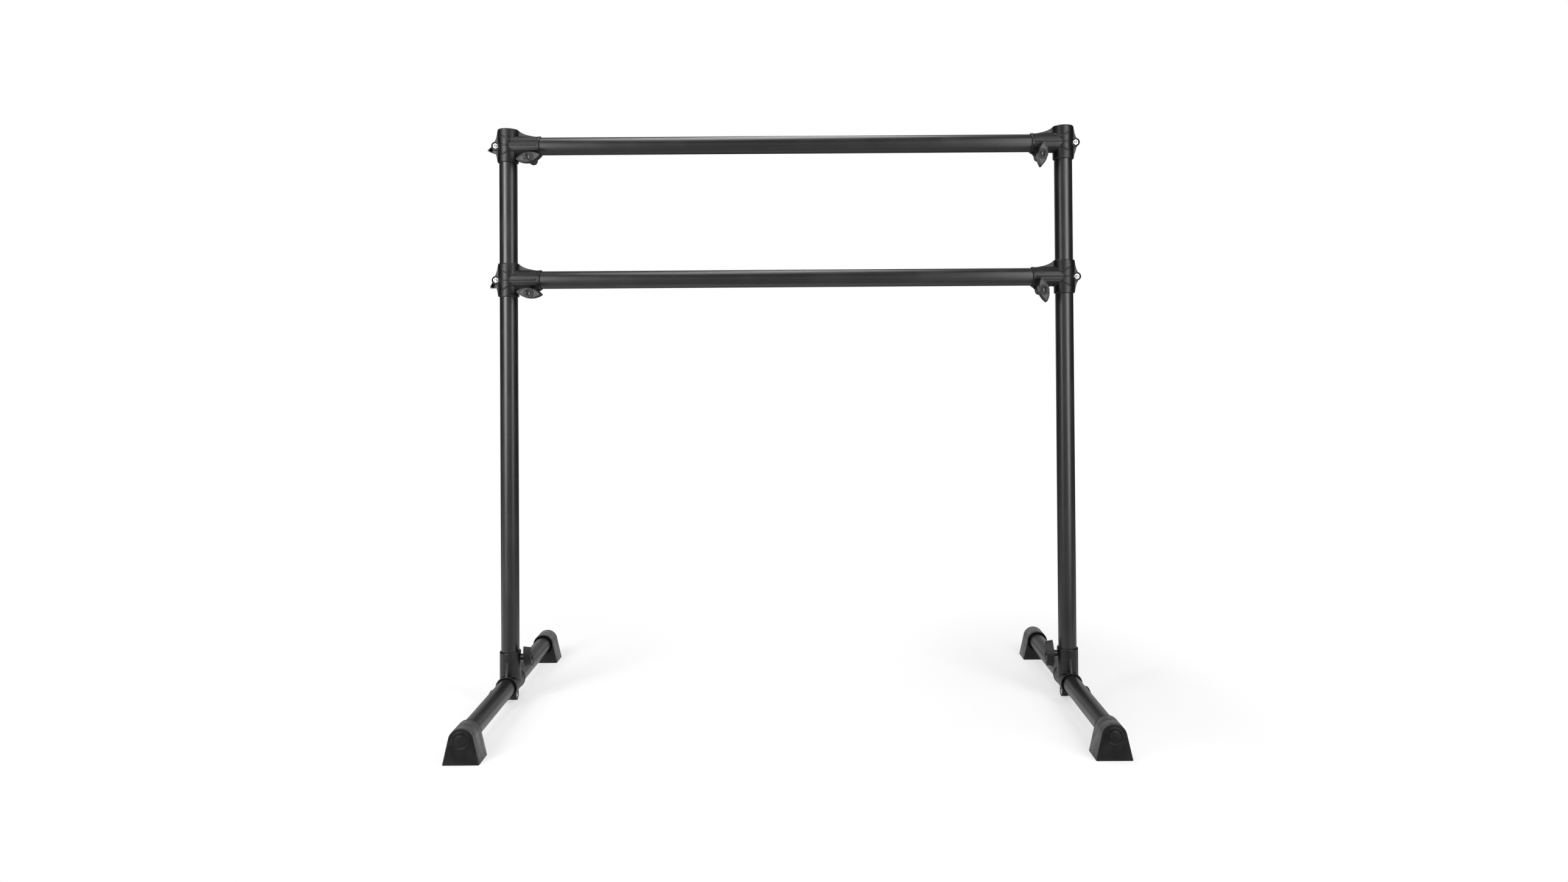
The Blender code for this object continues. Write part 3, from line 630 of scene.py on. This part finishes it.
# Base fitting about the cross tube's axis: the tube along Y, the upright in from above
base = {
    "sleeve": 0.0222, "half": 0.0315, "lip": 0.0231, "lipLength": 0.0028, "bore": 0.0195, "rim": 0.0018,
    "top": 0.1130, "floor": 0.0685, "webHalf": 0.0042, "gussetHalf": 0.0024, "gussetRoot": 0.0160,
    "earRoot": 0.0100, "webRoot": 0.0150,
    "screwZ": 0.0995, "insert": 0.0048, "insertBore": 0.0031, "insertProud": 0.0003, "insertInset": 0.0004,
    "boltZ": 0.0170, "boltHole": 0.0033, "earHalf": 0.0148, "earRadius": 0.0096, "slit": 0.0024,
    "pocketFlats": 0.0106, "pocketDepth": 0.0055, "leadRadius": 0.0074, "leadDepth": 0.0012,
    "voxel": 0.00050, "rounds": 3, "keep": 0.40,
}


def makeBase():
    b = base
    half, lip, sleeve, lipRadius = b["half"], b["lipLength"], b["sleeve"], b["lip"]
    side = [(sleeve, half - lip - 0.0006), (lipRadius, half - lip), (lipRadius, half - 0.0005),
            (lipRadius - 0.0005, half), (0, half)]
    body = turnedSolid(mirrored(side) + side, "Y")
    top = b["top"] - baseHeight
    socket = sleeve - 0.0001
    parts = [turnedSolid([(0, 0.001), (socket, 0.001)] + roundedRim(socket, top, b["rim"])
                         + [(0, top)], "Z")]

    # Gussets front and back of the socket, then the split ears and the web that runs along below
    gussetEnd, webEnd = half - 0.0006, half - 0.0010
    rise = bend((0.0214, 0.0545), (0.0240, 0.0345), (gussetEnd, 0.0234), 20) + [(gussetEnd, b["gussetRoot"])]
    parts.append(slabSolid(rise + flipped(rise), -b["gussetHalf"], b["gussetHalf"], "X"))
    boltZ, ear, earHalf = b["boltZ"] - baseHeight, b["earRadius"], b["earHalf"]
    belly = arc(ear, 32, (0.0, boltZ), math.pi, math.pi)
    parts.append(slabSolid(belly + [(ear, -b["earRoot"]), (-ear, -b["earRoot"])], -earHalf, earHalf, "X"))
    skirt = bend((0.0080, boltZ - 0.0050), (0.0180, -0.0245), (webEnd, -0.0228)) + [(webEnd, -b["webRoot"])]
    parts.append(slabSolid(flipped(skirt) + skirt, -b["webHalf"], b["webHalf"], "X"))
    body = combined(body, parts, "UNION")

    # The bores, the slit, the insert's hole, and the bolt's hole with its nut's pocket
    bore, slit, floorZ, screwZ = b["bore"], b["slit"] / 2, b["floor"] - baseHeight, b["screwZ"] - baseHeight
    mouth = [(0, 0), (bore, 0)] + boreMouth(bore, half, 0.0012, 0.0010)
    cuts = [rodSolid(bore, -0.060, 0.060, "Y", sides=roundSides),
            turnedSolid(mirrored(mouth), "Y"),
            turnedSolid(mouth, "Y"),
            turnedSolid([(0, floorZ), (bore, floorZ)] + boreMouth(bore, top), "Z"),
            slabSolid(oblong(-slit, slit, -0.050, -b["webRoot"]), -0.060, 0.060, "Y"),
            rodSolid(b["insert"] + b["insertProud"], 0.0150, 0.0300, "X", (0.0, screwZ), 48),
            rodSolid(b["boltHole"], -0.030, 0.030, "X", (0.0, boltZ), 32),
            slabSolid(hexOutline(b["pocketFlats"], (0.0, boltZ)), earHalf - b["pocketDepth"],
                      earHalf + spare, "X"),
            rodSolid(b["leadRadius"], earHalf - b["leadDepth"], earHalf + spare, "X", (0.0, boltZ), 48)]
    return moulded(combined(body, cuts, "DIFFERENCE"), base)


baseSolid = makeBase()
for side, way in bothSides:
    place = Matrix.Translation((way * postX, 0, baseHeight)) @ Matrix.Diagonal((-way, 1, 1, 1))
    piece(side + "BaseFitting", baseSolid, place, fittingPlastic,
          side + "_base", [side + "_base_fitting"])
print("base fittings made")

# Feet: an arch over the tube's end that runs out to a wide sole
foot = {
    "depth": 0.0460, "half": 0.0341, "arch": 0.0237, "wall": 0.0100, "edge": 0.0014, "toe": 0.0006,
    "bore": 0.0195, "leadRadius": 0.0224, "leadDepth": 0.0060, "vent": 0.0014, "ventY": 0.0235,
    "ventDepth": 0.0030, "innerDisc": 0.0118, "outerDisc": 0.0179, "discZ": 0.0008,
    "discHeight": 0.0013, "moat": 0.0011,
    "lip": 0.0016, "grooveWidth": 0.0018, "grooveDepth": 0.0007, "grooveEnd": 0.0,
    "steps": 56, "sharp": 35,
}


# Two raised rounds on the end face, the smaller one on the larger, with a hollow line between
def footDiscs():
    f = foot
    inner, outer, lift, moat, depth = f["innerDisc"], f["outerDisc"], f["discHeight"], f["moat"], f["depth"]
    discs = turnedSolid([
        (0, depth - 0.001), (outer, depth - 0.001), (outer, depth),
        (outer - lift * 0.15, depth + lift * 0.45), (outer - lift * 0.6, depth + lift * 0.85),
        (outer - lift * 1.2, depth + lift), (inner + moat * 1.4, depth + lift),
        (inner + moat, depth + lift * 0.85), (inner + moat * 0.5, depth + lift * 0.6),
        (inner, depth + lift * 0.7), (inner - lift * 0.15, depth + lift * 1.2),
        (inner - lift * 0.6, depth + lift * 1.6), (inner - lift * 1.2, depth + lift * 1.8),
        (0, depth + lift * 1.8)], "Y")
    discs.location.z = f["discZ"]
    return discs


def makeFoot():
    f = foot
    half, sole, arch, depth, steps = f["half"], -baseHeight, f["arch"], f["depth"], f["steps"]
    first = math.atan2(sole, half) + math.acos(arch / math.hypot(half, sole))
    sweep = math.pi - 2 * first
    toe = [(half - f["toe"], sole), (half, sole + f["toe"])]
    bm, moved = extruded(toe + arc(arch, steps, (0, 0), first, sweep) + flipped(toe), 0.0, depth, "Y")
    bmesh.ops.recalc_face_normals(bm, faces=bm.faces)
    rims = [e for e in bm.edges if abs(e.verts[0].co.y - e.verts[1].co.y) < 1e-6
            and max(e.verts[0].co.z, e.verts[1].co.z) > sole + 1e-5]
    bmesh.ops.bevel(bm, geom=rims, offset=f["edge"], segments=4, profile=0.5, affect="EDGES", material=-1,
                    clamp_overlap=True)
    body = combined(toObject(bm), [footDiscs()], "UNION")

    bore, lead, floorY = f["bore"], f["leadRadius"], depth - f["wall"]
    socket = turnedSolid([(0, -spare), (lead, -spare), (lead, f["leadDepth"] * 0.6), (bore, f["leadDepth"]),
                          (bore, floorY), (0, floorY)], "Y")
    vent = rodSolid(f["vent"], arch - f["ventDepth"], arch + spare, "Z", (0.0, f["ventY"]), 24)
    # The line over the mouth: a groove that sets off a thin lip
    low, high, cut = f["lip"], f["lip"] + f["grooveWidth"], f["grooveDepth"]
    reach = half - cut / math.cos(first)
    core = [(reach, sole)] + arc(arch - cut, steps, (0, 0), first, sweep) + [(-reach, sole)]
    wide, end = arch + 0.010, f["grooveEnd"]
    groove = slabSolid([(wide, end), (wide, wide), (-wide, wide), (-wide, end)], low, high, "Y")
    core = slabSolid(core, low - smallSpare, high + smallSpare, "Y")
    groove = combined(groove, [core], "DIFFERENCE")
    return combined(body, [socket, vent, groove], "DIFFERENCE")


footSolid = makeFoot()
for side, way in bothSides:
    for end, ahead in (("front", -1.0), ("rear", 1.0)):
        place = Matrix.Translation((way * postX, ahead * (footEnd - foot["depth"]), baseHeight))
        if ahead < 0:
            place = place @ Matrix.Rotation(math.pi, 4, "Z")
        piece(side + end.capitalize() + "Foot", footSolid, place, footRubber,
              side + "_cross", [side + "_" + end + "_foot"], foot["sharp"])
print("feet made")

# Wing knob about Z: the collar points down, the wings start at zero
knob = {
    "length": 0.0273, "width": 0.0113, "thick": 0.0153, "faceLength": 0.0249, "faceWidth": 0.0102,
    "blunt": 0.0012, "tipShare": 0.8, "rimWidth": 0.0014, "rimDepth": 0.0008, "hub": 0.01075,
    "grooveRadius": 0.0092, "grooveWidth": 0.0005, "grooveDepth": 0.0010, "dish": 0.0074, "bowl": 0.0100,
    "socket": 0.0080, "bore": 0.0033, "wall": 0.0016, "boss": 0.0088, "hollow": 0.0105,
    "sides": 72, "voxel": 0.00032, "rounds": 2, "keep": 0.30,
}


# Two arcs that would meet a little past each tip, which leaves the tips blunt
def lensOutline(halfLength, halfWidth, steps=20):
    reach = halfLength + knob["blunt"]
    radius = (reach ** 2 + halfWidth ** 2) / (2 * halfWidth)
    side = []
    for i in range(steps + 1):
        u = halfLength * math.cos(math.pi * i / steps)
        side.append((u, math.sqrt(radius ** 2 - u ** 2) - (radius - halfWidth)))
    return side + [(-u, -v) for u, v in side]


def makeKnob(collar, collarRadius):
    k = knob
    length, width, thick, sides = k["length"], k["width"], k["thick"], k["sides"]
    bm, moved = extruded(lensOutline(length, width), 0.0, thick, "Z")
    bmesh.ops.scale(bm, verts=moved, vec=(k["faceLength"] / length, k["faceWidth"] / width, 1.0))
    tipGap = k["rimWidth"] * length / width * k["tipShare"]
    inside = lensOutline(k["faceLength"] - tipGap, k["faceWidth"] - k["rimWidth"])
    recess = slabSolid(inside, thick - k["rimDepth"], thick + spare, "Z")
    wing = combined(toObject(bm), [recess], "DIFFERENCE")
    top, hubSide = thick + 0.0002, k["hub"]
    hub = turnedSolid([(0, 0.002), (hubSide, 0.002), (hubSide, top - 0.0004), (hubSide - 0.0004, top),
                       (0, top)], "Z", sides)
    neck = rodSolid(collarRadius, -collar, 0.003, "Z", sides=48)
    body = combined(wing, [hub, neck], "UNION")

    # The ring groove and the dish in the face, the bore, and the hollow back round its boss
    groove, w, low = k["grooveRadius"], k["grooveWidth"], top - k["grooveDepth"]
    above = top + smallSpare
    ring = turnedSolid([(groove - w, above), (groove - w, top), (groove - w * 0.4, low),
                        (groove + w * 0.4, low), (groove + w, top), (groove + w, above),
                        (groove - w, above)], "Z", sides)
    mouth, bowl = k["dish"], k["bowl"]
    centreZ = top + math.sqrt(bowl ** 2 - mouth ** 2)
    curve = [(u, v) for u, v in arc(bowl, 40, (0, centreZ), 0, -math.pi / 2) if v < top and u > 1e-5]
    curve.append((0, centreZ - bowl))
    dish = turnedSolid([(0, above), (mouth, above), (mouth, top)] + curve, "Z", sides)
    tipWall = k["wall"] * length / width * k["tipShare"]
    hollow = slabSolid(lensOutline(length - tipWall, width - k["wall"]), -spare, k["hollow"], "Z")
    hollow = combined(hollow, [rodSolid(k["boss"], -2 * spare, thick, "Z")], "DIFFERENCE")
    bore = rodSolid(k["bore"], -collar - spare, k["socket"], "Z", sides=32)
    return moulded(combined(body, [bore, hollow, ring, dish], "DIFFERENCE"), knob)


# Hardware: hexagon nuts, threaded bolts and the inserts of the locking screws
hardware = {
    "flats": 0.0100, "nutThick": 0.0046, "nutSunk": 0.0006, "nutBore": 0.00305, "nutRound": 0.40,
    "countersink": 0.0007, "flareDepth": 1.2, "boltRadius": 0.0030, "boltTip": 0.0019, "gap": 0.0003,
    "thread": 0.0010, "threadDepth": 0.00055, "crest": (0.60, 0.45), "root": 0.05, "threadSides": 20,
    "tipSlope": 1.1, "clampCollar": 0.0119, "clampCollarRadius": 0.0055,
    "screwCollar": 0.0083, "screwCollarRadius": 0.0064, "nutSharp": 30, "boltSharp": 50,
}


def makeNut():
    h = hardware
    flats, thick, bore, flare = h["flats"], h["nutThick"], h["nutBore"], h["countersink"]
    corner = flats / 2 / math.cos(math.pi / 6)
    body = slabSolid(hexOutline(flats, (0, 0), 0), 0.0, thick, "Z")
    cut = (corner - flats / 2) * h["nutRound"]
    near, far = flats / 2 + 0.0001, corner + 0.0001
    bowl = turnedSolid([(0, 0), (near, 0), (far, cut), (far, thick - cut), (near, thick), (0, thick)], "Z")
    body = combined(body, [bowl], "INTERSECT")
    wide, deep = bore + flare, flare * h["flareDepth"]
    hole = turnedSolid([(0, -smallSpare), (wide, -smallSpare), (wide, 0), (bore, deep), (bore, thick - deep),
                        (wide, thick), (wide, thick + smallSpare), (0, thick + smallSpare)], "Z", 48)
    return combined(body, [hole], "DIFFERENCE")


def makeBolt(length):
    h = hardware
    pitch, depth, radius, sides = h["thread"], h["threadDepth"], h["boltRadius"], h["threadSides"]
    turns = int(length / pitch) + 3
    crestLow, crestHigh = h["crest"]
    bm = drawnLine([(radius - depth, -pitch), (radius, -pitch * crestLow), (radius, -pitch * crestHigh),
                    (radius - depth, -pitch * h["root"]), (radius - depth, 0.0)])
    bmesh.ops.spin(bm, geom=bm.verts[:] + bm.edges[:], cent=(0, 0, 0), axis=(0, 0, 1),
                   dvec=(0, 0, pitch / sides), angle=2 * math.pi * turns, steps=turns * sides)
    bmesh.ops.remove_doubles(bm, verts=bm.verts, dist=1e-6)
    for height, normal in ((0.0, (0, 0, -1)), (length, (0, 0, 1))):
        bmesh.ops.bisect_plane(bm, geom=bm.verts[:] + bm.edges[:] + bm.faces[:], dist=1e-8,
                               plane_co=(0, 0, height), plane_no=normal, clear_outer=True)
        rim = [e for e in bm.edges if e.is_boundary and abs(e.verts[0].co.z - height) < 1e-6
               and abs(e.verts[1].co.z - height) < 1e-6]
        bmesh.ops.contextual_create(bm, geom=rim)
    tip, wide = h["boltTip"], radius + 0.0002
    shape = turnedSolid([(0, 0), (tip, 0), (wide, (wide - tip) * h["tipSlope"]), (wide, length - 0.0004),
                         (wide - 0.0006, length), (0, length)], "Z", 32)
    return combined(toObject(bm), [shape], "INTERSECT")


clampKnob = makeKnob(hardware["clampCollar"], hardware["clampCollarRadius"])
screwKnob = makeKnob(hardware["screwCollar"], hardware["screwCollarRadius"])
nutSolid = makeNut()
boltStart = hardware["nutSunk"] - hardware["gap"]
knobReach = hardware["clampCollar"] + knob["socket"]
clampBolt = makeBolt(2 * tee["earHalf"] - boltStart + knobReach)
underBolt = makeBolt(2 * base["earHalf"] - boltStart + knobReach)
print("knobs and hardware made")


# The way that a wing's tip points, at an angle above the level
def slant(angle, plane):
    a = math.radians(angle)
    return (math.cos(a), 0, math.sin(a)) if plane == "XZ" else (0, math.cos(a), math.sin(a))


# A bolt through a pair of ears, with its nut sunk in one and its knob against the other
def clampSet(label, node, centre, outward, half, bolt, tilt, plane, holder):
    out = Vector(outward)
    mid = Vector(centre)
    up = (0, 0, 1)
    piece(label + "Bolt", bolt, facing(mid - out * (half - boltStart), outward, up), zincPlate,
          node + "_screw", [node + "_bolt"], hardware["boltSharp"])
    piece(label + "Nut", nutSolid, facing(mid - out * (half - hardware["nutSunk"]), outward, up), zincPlate,
          holder, [node + "_nut"], hardware["nutSharp"])
    seat = mid + out * (half + hardware["gap"] + hardware["clampCollar"])
    piece(label + "Knob", clampKnob, facing(seat, outward, slant(tilt, plane)), knobPlastic,
          node + "_wing", [node + "_knob"])


# Rest angle of each wing: across the barre for the tees' knobs, front to back for the base fittings'
postKnobTilt = {"top_left": 7.0, "top_right": 90.0, "lower_left": 33.0, "lower_right": 90.0}
barKnobTilt = {"top_left": 9.8, "top_right": 82.0, "lower_left": -7.0, "lower_right": 103.0}
lockKnobTilt = {"left": 114.0, "right": 82.0}
underKnobTilt = {"left": -6.0, "right": -12.0}

for row in rows:
    for side, way in bothSides:
        node = row + "_" + side
        label = row + side.capitalize()
        postEar = (way * (postX - tee["postEarX"]), 0, barHeight[row])
        barEar = (way * (postX - tee["barEarX"]), 0, barHeight[row] + tee["barEarZ"])
        clampSet(label + "Post", node + "_post", postEar, (0, 1, 0), tee["earHalf"], clampBolt,
                 postKnobTilt[node], "XZ", row + "_level")
        clampSet(label + "Bar", node + "_bar", barEar, (0, -1, 0), tee["earHalf"], clampBolt,
                 barKnobTilt[node], "XZ", row + "_level")

insertOut = base["sleeve"] + base["insertProud"]
insertIn = base["bore"] + base["insertInset"]
insertLong = insertOut - insertIn
screwSeat = insertOut + hardware["gap"]
lockScrew = makeBolt(screwSeat + hardware["screwCollar"] + knob["socket"] - hardware["gap"] - base["bore"])


def makeInsert():
    outer, inner = base["insert"], base["insertBore"]
    return turnedSolid([(outer, 0), (outer, insertLong - 0.0004), (outer - 0.0004, insertLong),
                        (0.0036, insertLong), (inner, insertLong - 0.0003), (inner, 0), (outer, 0)], "Z", 64)


insertSolid = makeInsert()
for side, way in bothSides:
    inward = (-way, 0, 0)
    screwSpot = Vector((way * postX, 0, base["screwZ"]))
    along = Vector(inward)
    piece(side + "LockInsert", insertSolid, facing(screwSpot + along * insertIn, inward, (0, 0, 1)),
          darkSteel, side + "_base", [side + "_lock_insert"], hardware["nutSharp"])
    piece(side + "LockScrew", lockScrew, facing(screwSpot + along * base["bore"], inward, (0, 0, 1)),
          darkSteel, side + "_lock_screw", [side + "_lock_screw"], hardware["boltSharp"])
    piece(side + "LockKnob", screwKnob,
          facing(screwSpot + along * (screwSeat + hardware["screwCollar"]), inward,
                 slant(lockKnobTilt[side], "YZ")), fittingPlastic,
          side + "_lock_wing", [side + "_lock_knob"])
    clampSet(side + "Under", side + "_under", (way * postX, 0, base["boltZ"]), (way, 0, 0),
             base["earHalf"], underBolt, underKnobTilt[side], "YZ", side + "_base")
print("knobs placed")

for leftover in [o for o in scene.objects if o.name.startswith("solid")]:
    bpy.data.objects.remove(leftover, do_unlink=True)

# Floor: white to the camera, with the object's soft shadow kept near the two bases, where a lower
# albedo to the camera also paints a faint grey halo of shade. Light and reflections find it darker
# behind the barre and in a band ahead of it
floor = {
    # the camera's lower albedo paints a faint grey halo of shade near the bases
    "size": 14.0, "cells": 8, "paintedHaloAlbedo": 0.76, "albedo": 0.85,
    "backAlbedo": 0.22, "backRange": (0.30, 0.80),
    "aheadShare": 0.40, "aheadY": -0.60, "aheadRange": (0.20, 0.42),
    "shadowShare": 0.45, "shadowRange": (0.17, 0.42), "squeeze": 0.55,
}


def makeFloorPaint():
    f = floor
    paint = bpy.data.materials.new("floorPaint")
    paint.use_nodes = True
    tree = paint.node_tree
    tree.nodes.clear()
    coords = addNode(tree, "ShaderNodeTexCoord", (-1200, 0))
    parts = addNode(tree, "ShaderNodeSeparateXYZ", (-1050, 0), {0: coords.outputs["Object"]}).outputs
    ray = addNode(tree, "ShaderNodeLightPath", (-800, 400)).outputs
    seen = calculate(tree, "MAXIMUM", (-600, 400), ray["Is Camera Ray"], ray["Is Transmission Ray"])

    width = calculate(tree, "ABSOLUTE", (-900, 150), parts["X"])
    offPost = calculate(tree, "SUBTRACT", (-750, 150), width, postX)
    along = calculate(tree, "MULTIPLY", (-750, 0), parts["Y"], f["squeeze"])
    ground = addNode(tree, "ShaderNodeCombineXYZ", (-600, 100), {"X": offPost, "Y": along})
    reach = addNode(tree, "ShaderNodeVectorMath", (-450, 100), {0: ground.outputs[0]}, operation="LENGTH")
    near = remap(tree, (-300, 100), reach.outputs["Value"], *f["shadowRange"], 1.0 - f["shadowShare"])
    share = calculate(tree, "MULTIPLY", (0, 300), seen, near)

    behind = remap(tree, (-400, -300), parts["Y"], *f["backRange"], f["albedo"], f["backAlbedo"])
    apart = calculate(tree, "SUBTRACT", (-700, -550), parts["Y"], f["aheadY"])
    apartSize = calculate(tree, "ABSOLUTE", (-550, -550), apart)
    ahead = remap(tree, (-400, -550), apartSize, *f["aheadRange"], f["aheadShare"])
    shown = calculate(tree, "MULTIPLY", (-280, -420), behind, ahead)
    # Camera rays see the lower albedo: near the bases it paints a faint grey halo of shade
    shade = blend(tree, (-150, -200), seen, shown, f["paintedHaloAlbedo"])

    matt = addNode(tree, "ShaderNodeBsdfDiffuse", (200, 100), {"Color": shade})
    glow = addNode(tree, "ShaderNodeEmission", (200, -100))
    mix = addNode(tree, "ShaderNodeMixShader", (450, 0),
                  {"Fac": share, 1: matt.outputs[0], 2: glow.outputs[0]})
    addNode(tree, "ShaderNodeOutputMaterial", (700, 0), {"Surface": mix.outputs[0]})
    return paint


bm = bmesh.new()
bmesh.ops.create_grid(bm, x_segments=floor["cells"], y_segments=floor["cells"], size=floor["size"] / 2)
floorMesh = bpy.data.meshes.new("floor")
bm.to_mesh(floorMesh)
bm.free()
floorMesh.materials.append(makeFloorPaint())
floorObject = linked("floor", floorMesh)

# Room: a white backdrop for the camera; reflections see it behind and the dimmer studio round it
room = {
    "backdrop": 1.0, "front": 0.80, "frontRange": (-0.1, 0.3), "sides": 0.03, "sideRange": (0.34, 0.72),
    "above": 0.25, "aboveRange": (0.12, 0.45), "fill": 0.40,
}


def makeRoom():
    world = bpy.data.worlds.new("studio")
    world.use_nodes = True
    tree = world.node_tree
    tree.nodes.clear()
    coords = addNode(tree, "ShaderNodeTexCoord", (-1000, 0))
    parts = addNode(tree, "ShaderNodeSeparateXYZ", (-800, 0), {0: coords.outputs["Generated"]}).outputs
    ray = addNode(tree, "ShaderNodeLightPath", (-400, 500)).outputs
    seen = calculate(tree, "MAXIMUM", (-150, 500), ray["Is Camera Ray"], ray["Is Transmission Ray"])
    depth = remap(tree, (-400, -150), parts["Y"], *room["frontRange"], room["front"], room["backdrop"])
    height = remap(tree, (-400, -450), parts["Z"], *room["aboveRange"], 1.0, room["above"])
    wall = calculate(tree, "MULTIPLY", (-280, -300), depth, height)
    aside = calculate(tree, "ABSOLUTE", (-600, 150), parts["X"])
    beside = remap(tree, (-400, 150), aside, *room["sideRange"])
    around = blend(tree, (-150, 0), beside, wall, room["sides"])
    lit = blend(tree, (100, 0), ray["Is Glossy Ray"], room["fill"], around)
    final = blend(tree, (400, 0), seen, lit, room["backdrop"])
    sky = addNode(tree, "ShaderNodeBackground", (800, 0), {"Color": (1.0, 1.0, 1.0, 1.0), "Strength": final})
    addNode(tree, "ShaderNodeOutputWorld", (1000, 0), {"Surface": sky.outputs[0]})
    return world


scene.world = makeRoom()

# Softboxes: one overhead, and a tall one on each side in front
lamps = {
    "overhead": {"place": (-0.15, 0.06, 2.35), "aim": (-0.10, 0.0, 0.9), "size": (1.40, 0.80),
                 "shape": "RECTANGLE", "power": 24.0},
    "leftStrip": {"place": (-1.62, -1.46, 1.30), "aim": (-2.08, 0.0, 1.15), "size": (1.25, 2.30),
                  "shape": "ELLIPSE", "power": 86.0},
    "rightStrip": {"place": (1.05, -0.95, 1.25), "aim": (-0.20, 0.0, 1.10), "size": (0.62, 2.40),
                   "shape": "ELLIPSE", "power": 26.0},
}
for name, lamp in lamps.items():
    data = bpy.data.lights.new(name, "AREA")
    data.shape = lamp["shape"]
    data.size, data.size_y = lamp["size"]
    data.energy = lamp["power"]
    made = linked(name, data)
    spot = Vector(lamp["place"])
    made.location = spot
    made.rotation_euler = (Vector(lamp["aim"]) - spot).to_track_quat("-Z", "Y").to_euler()
print("studio lit")
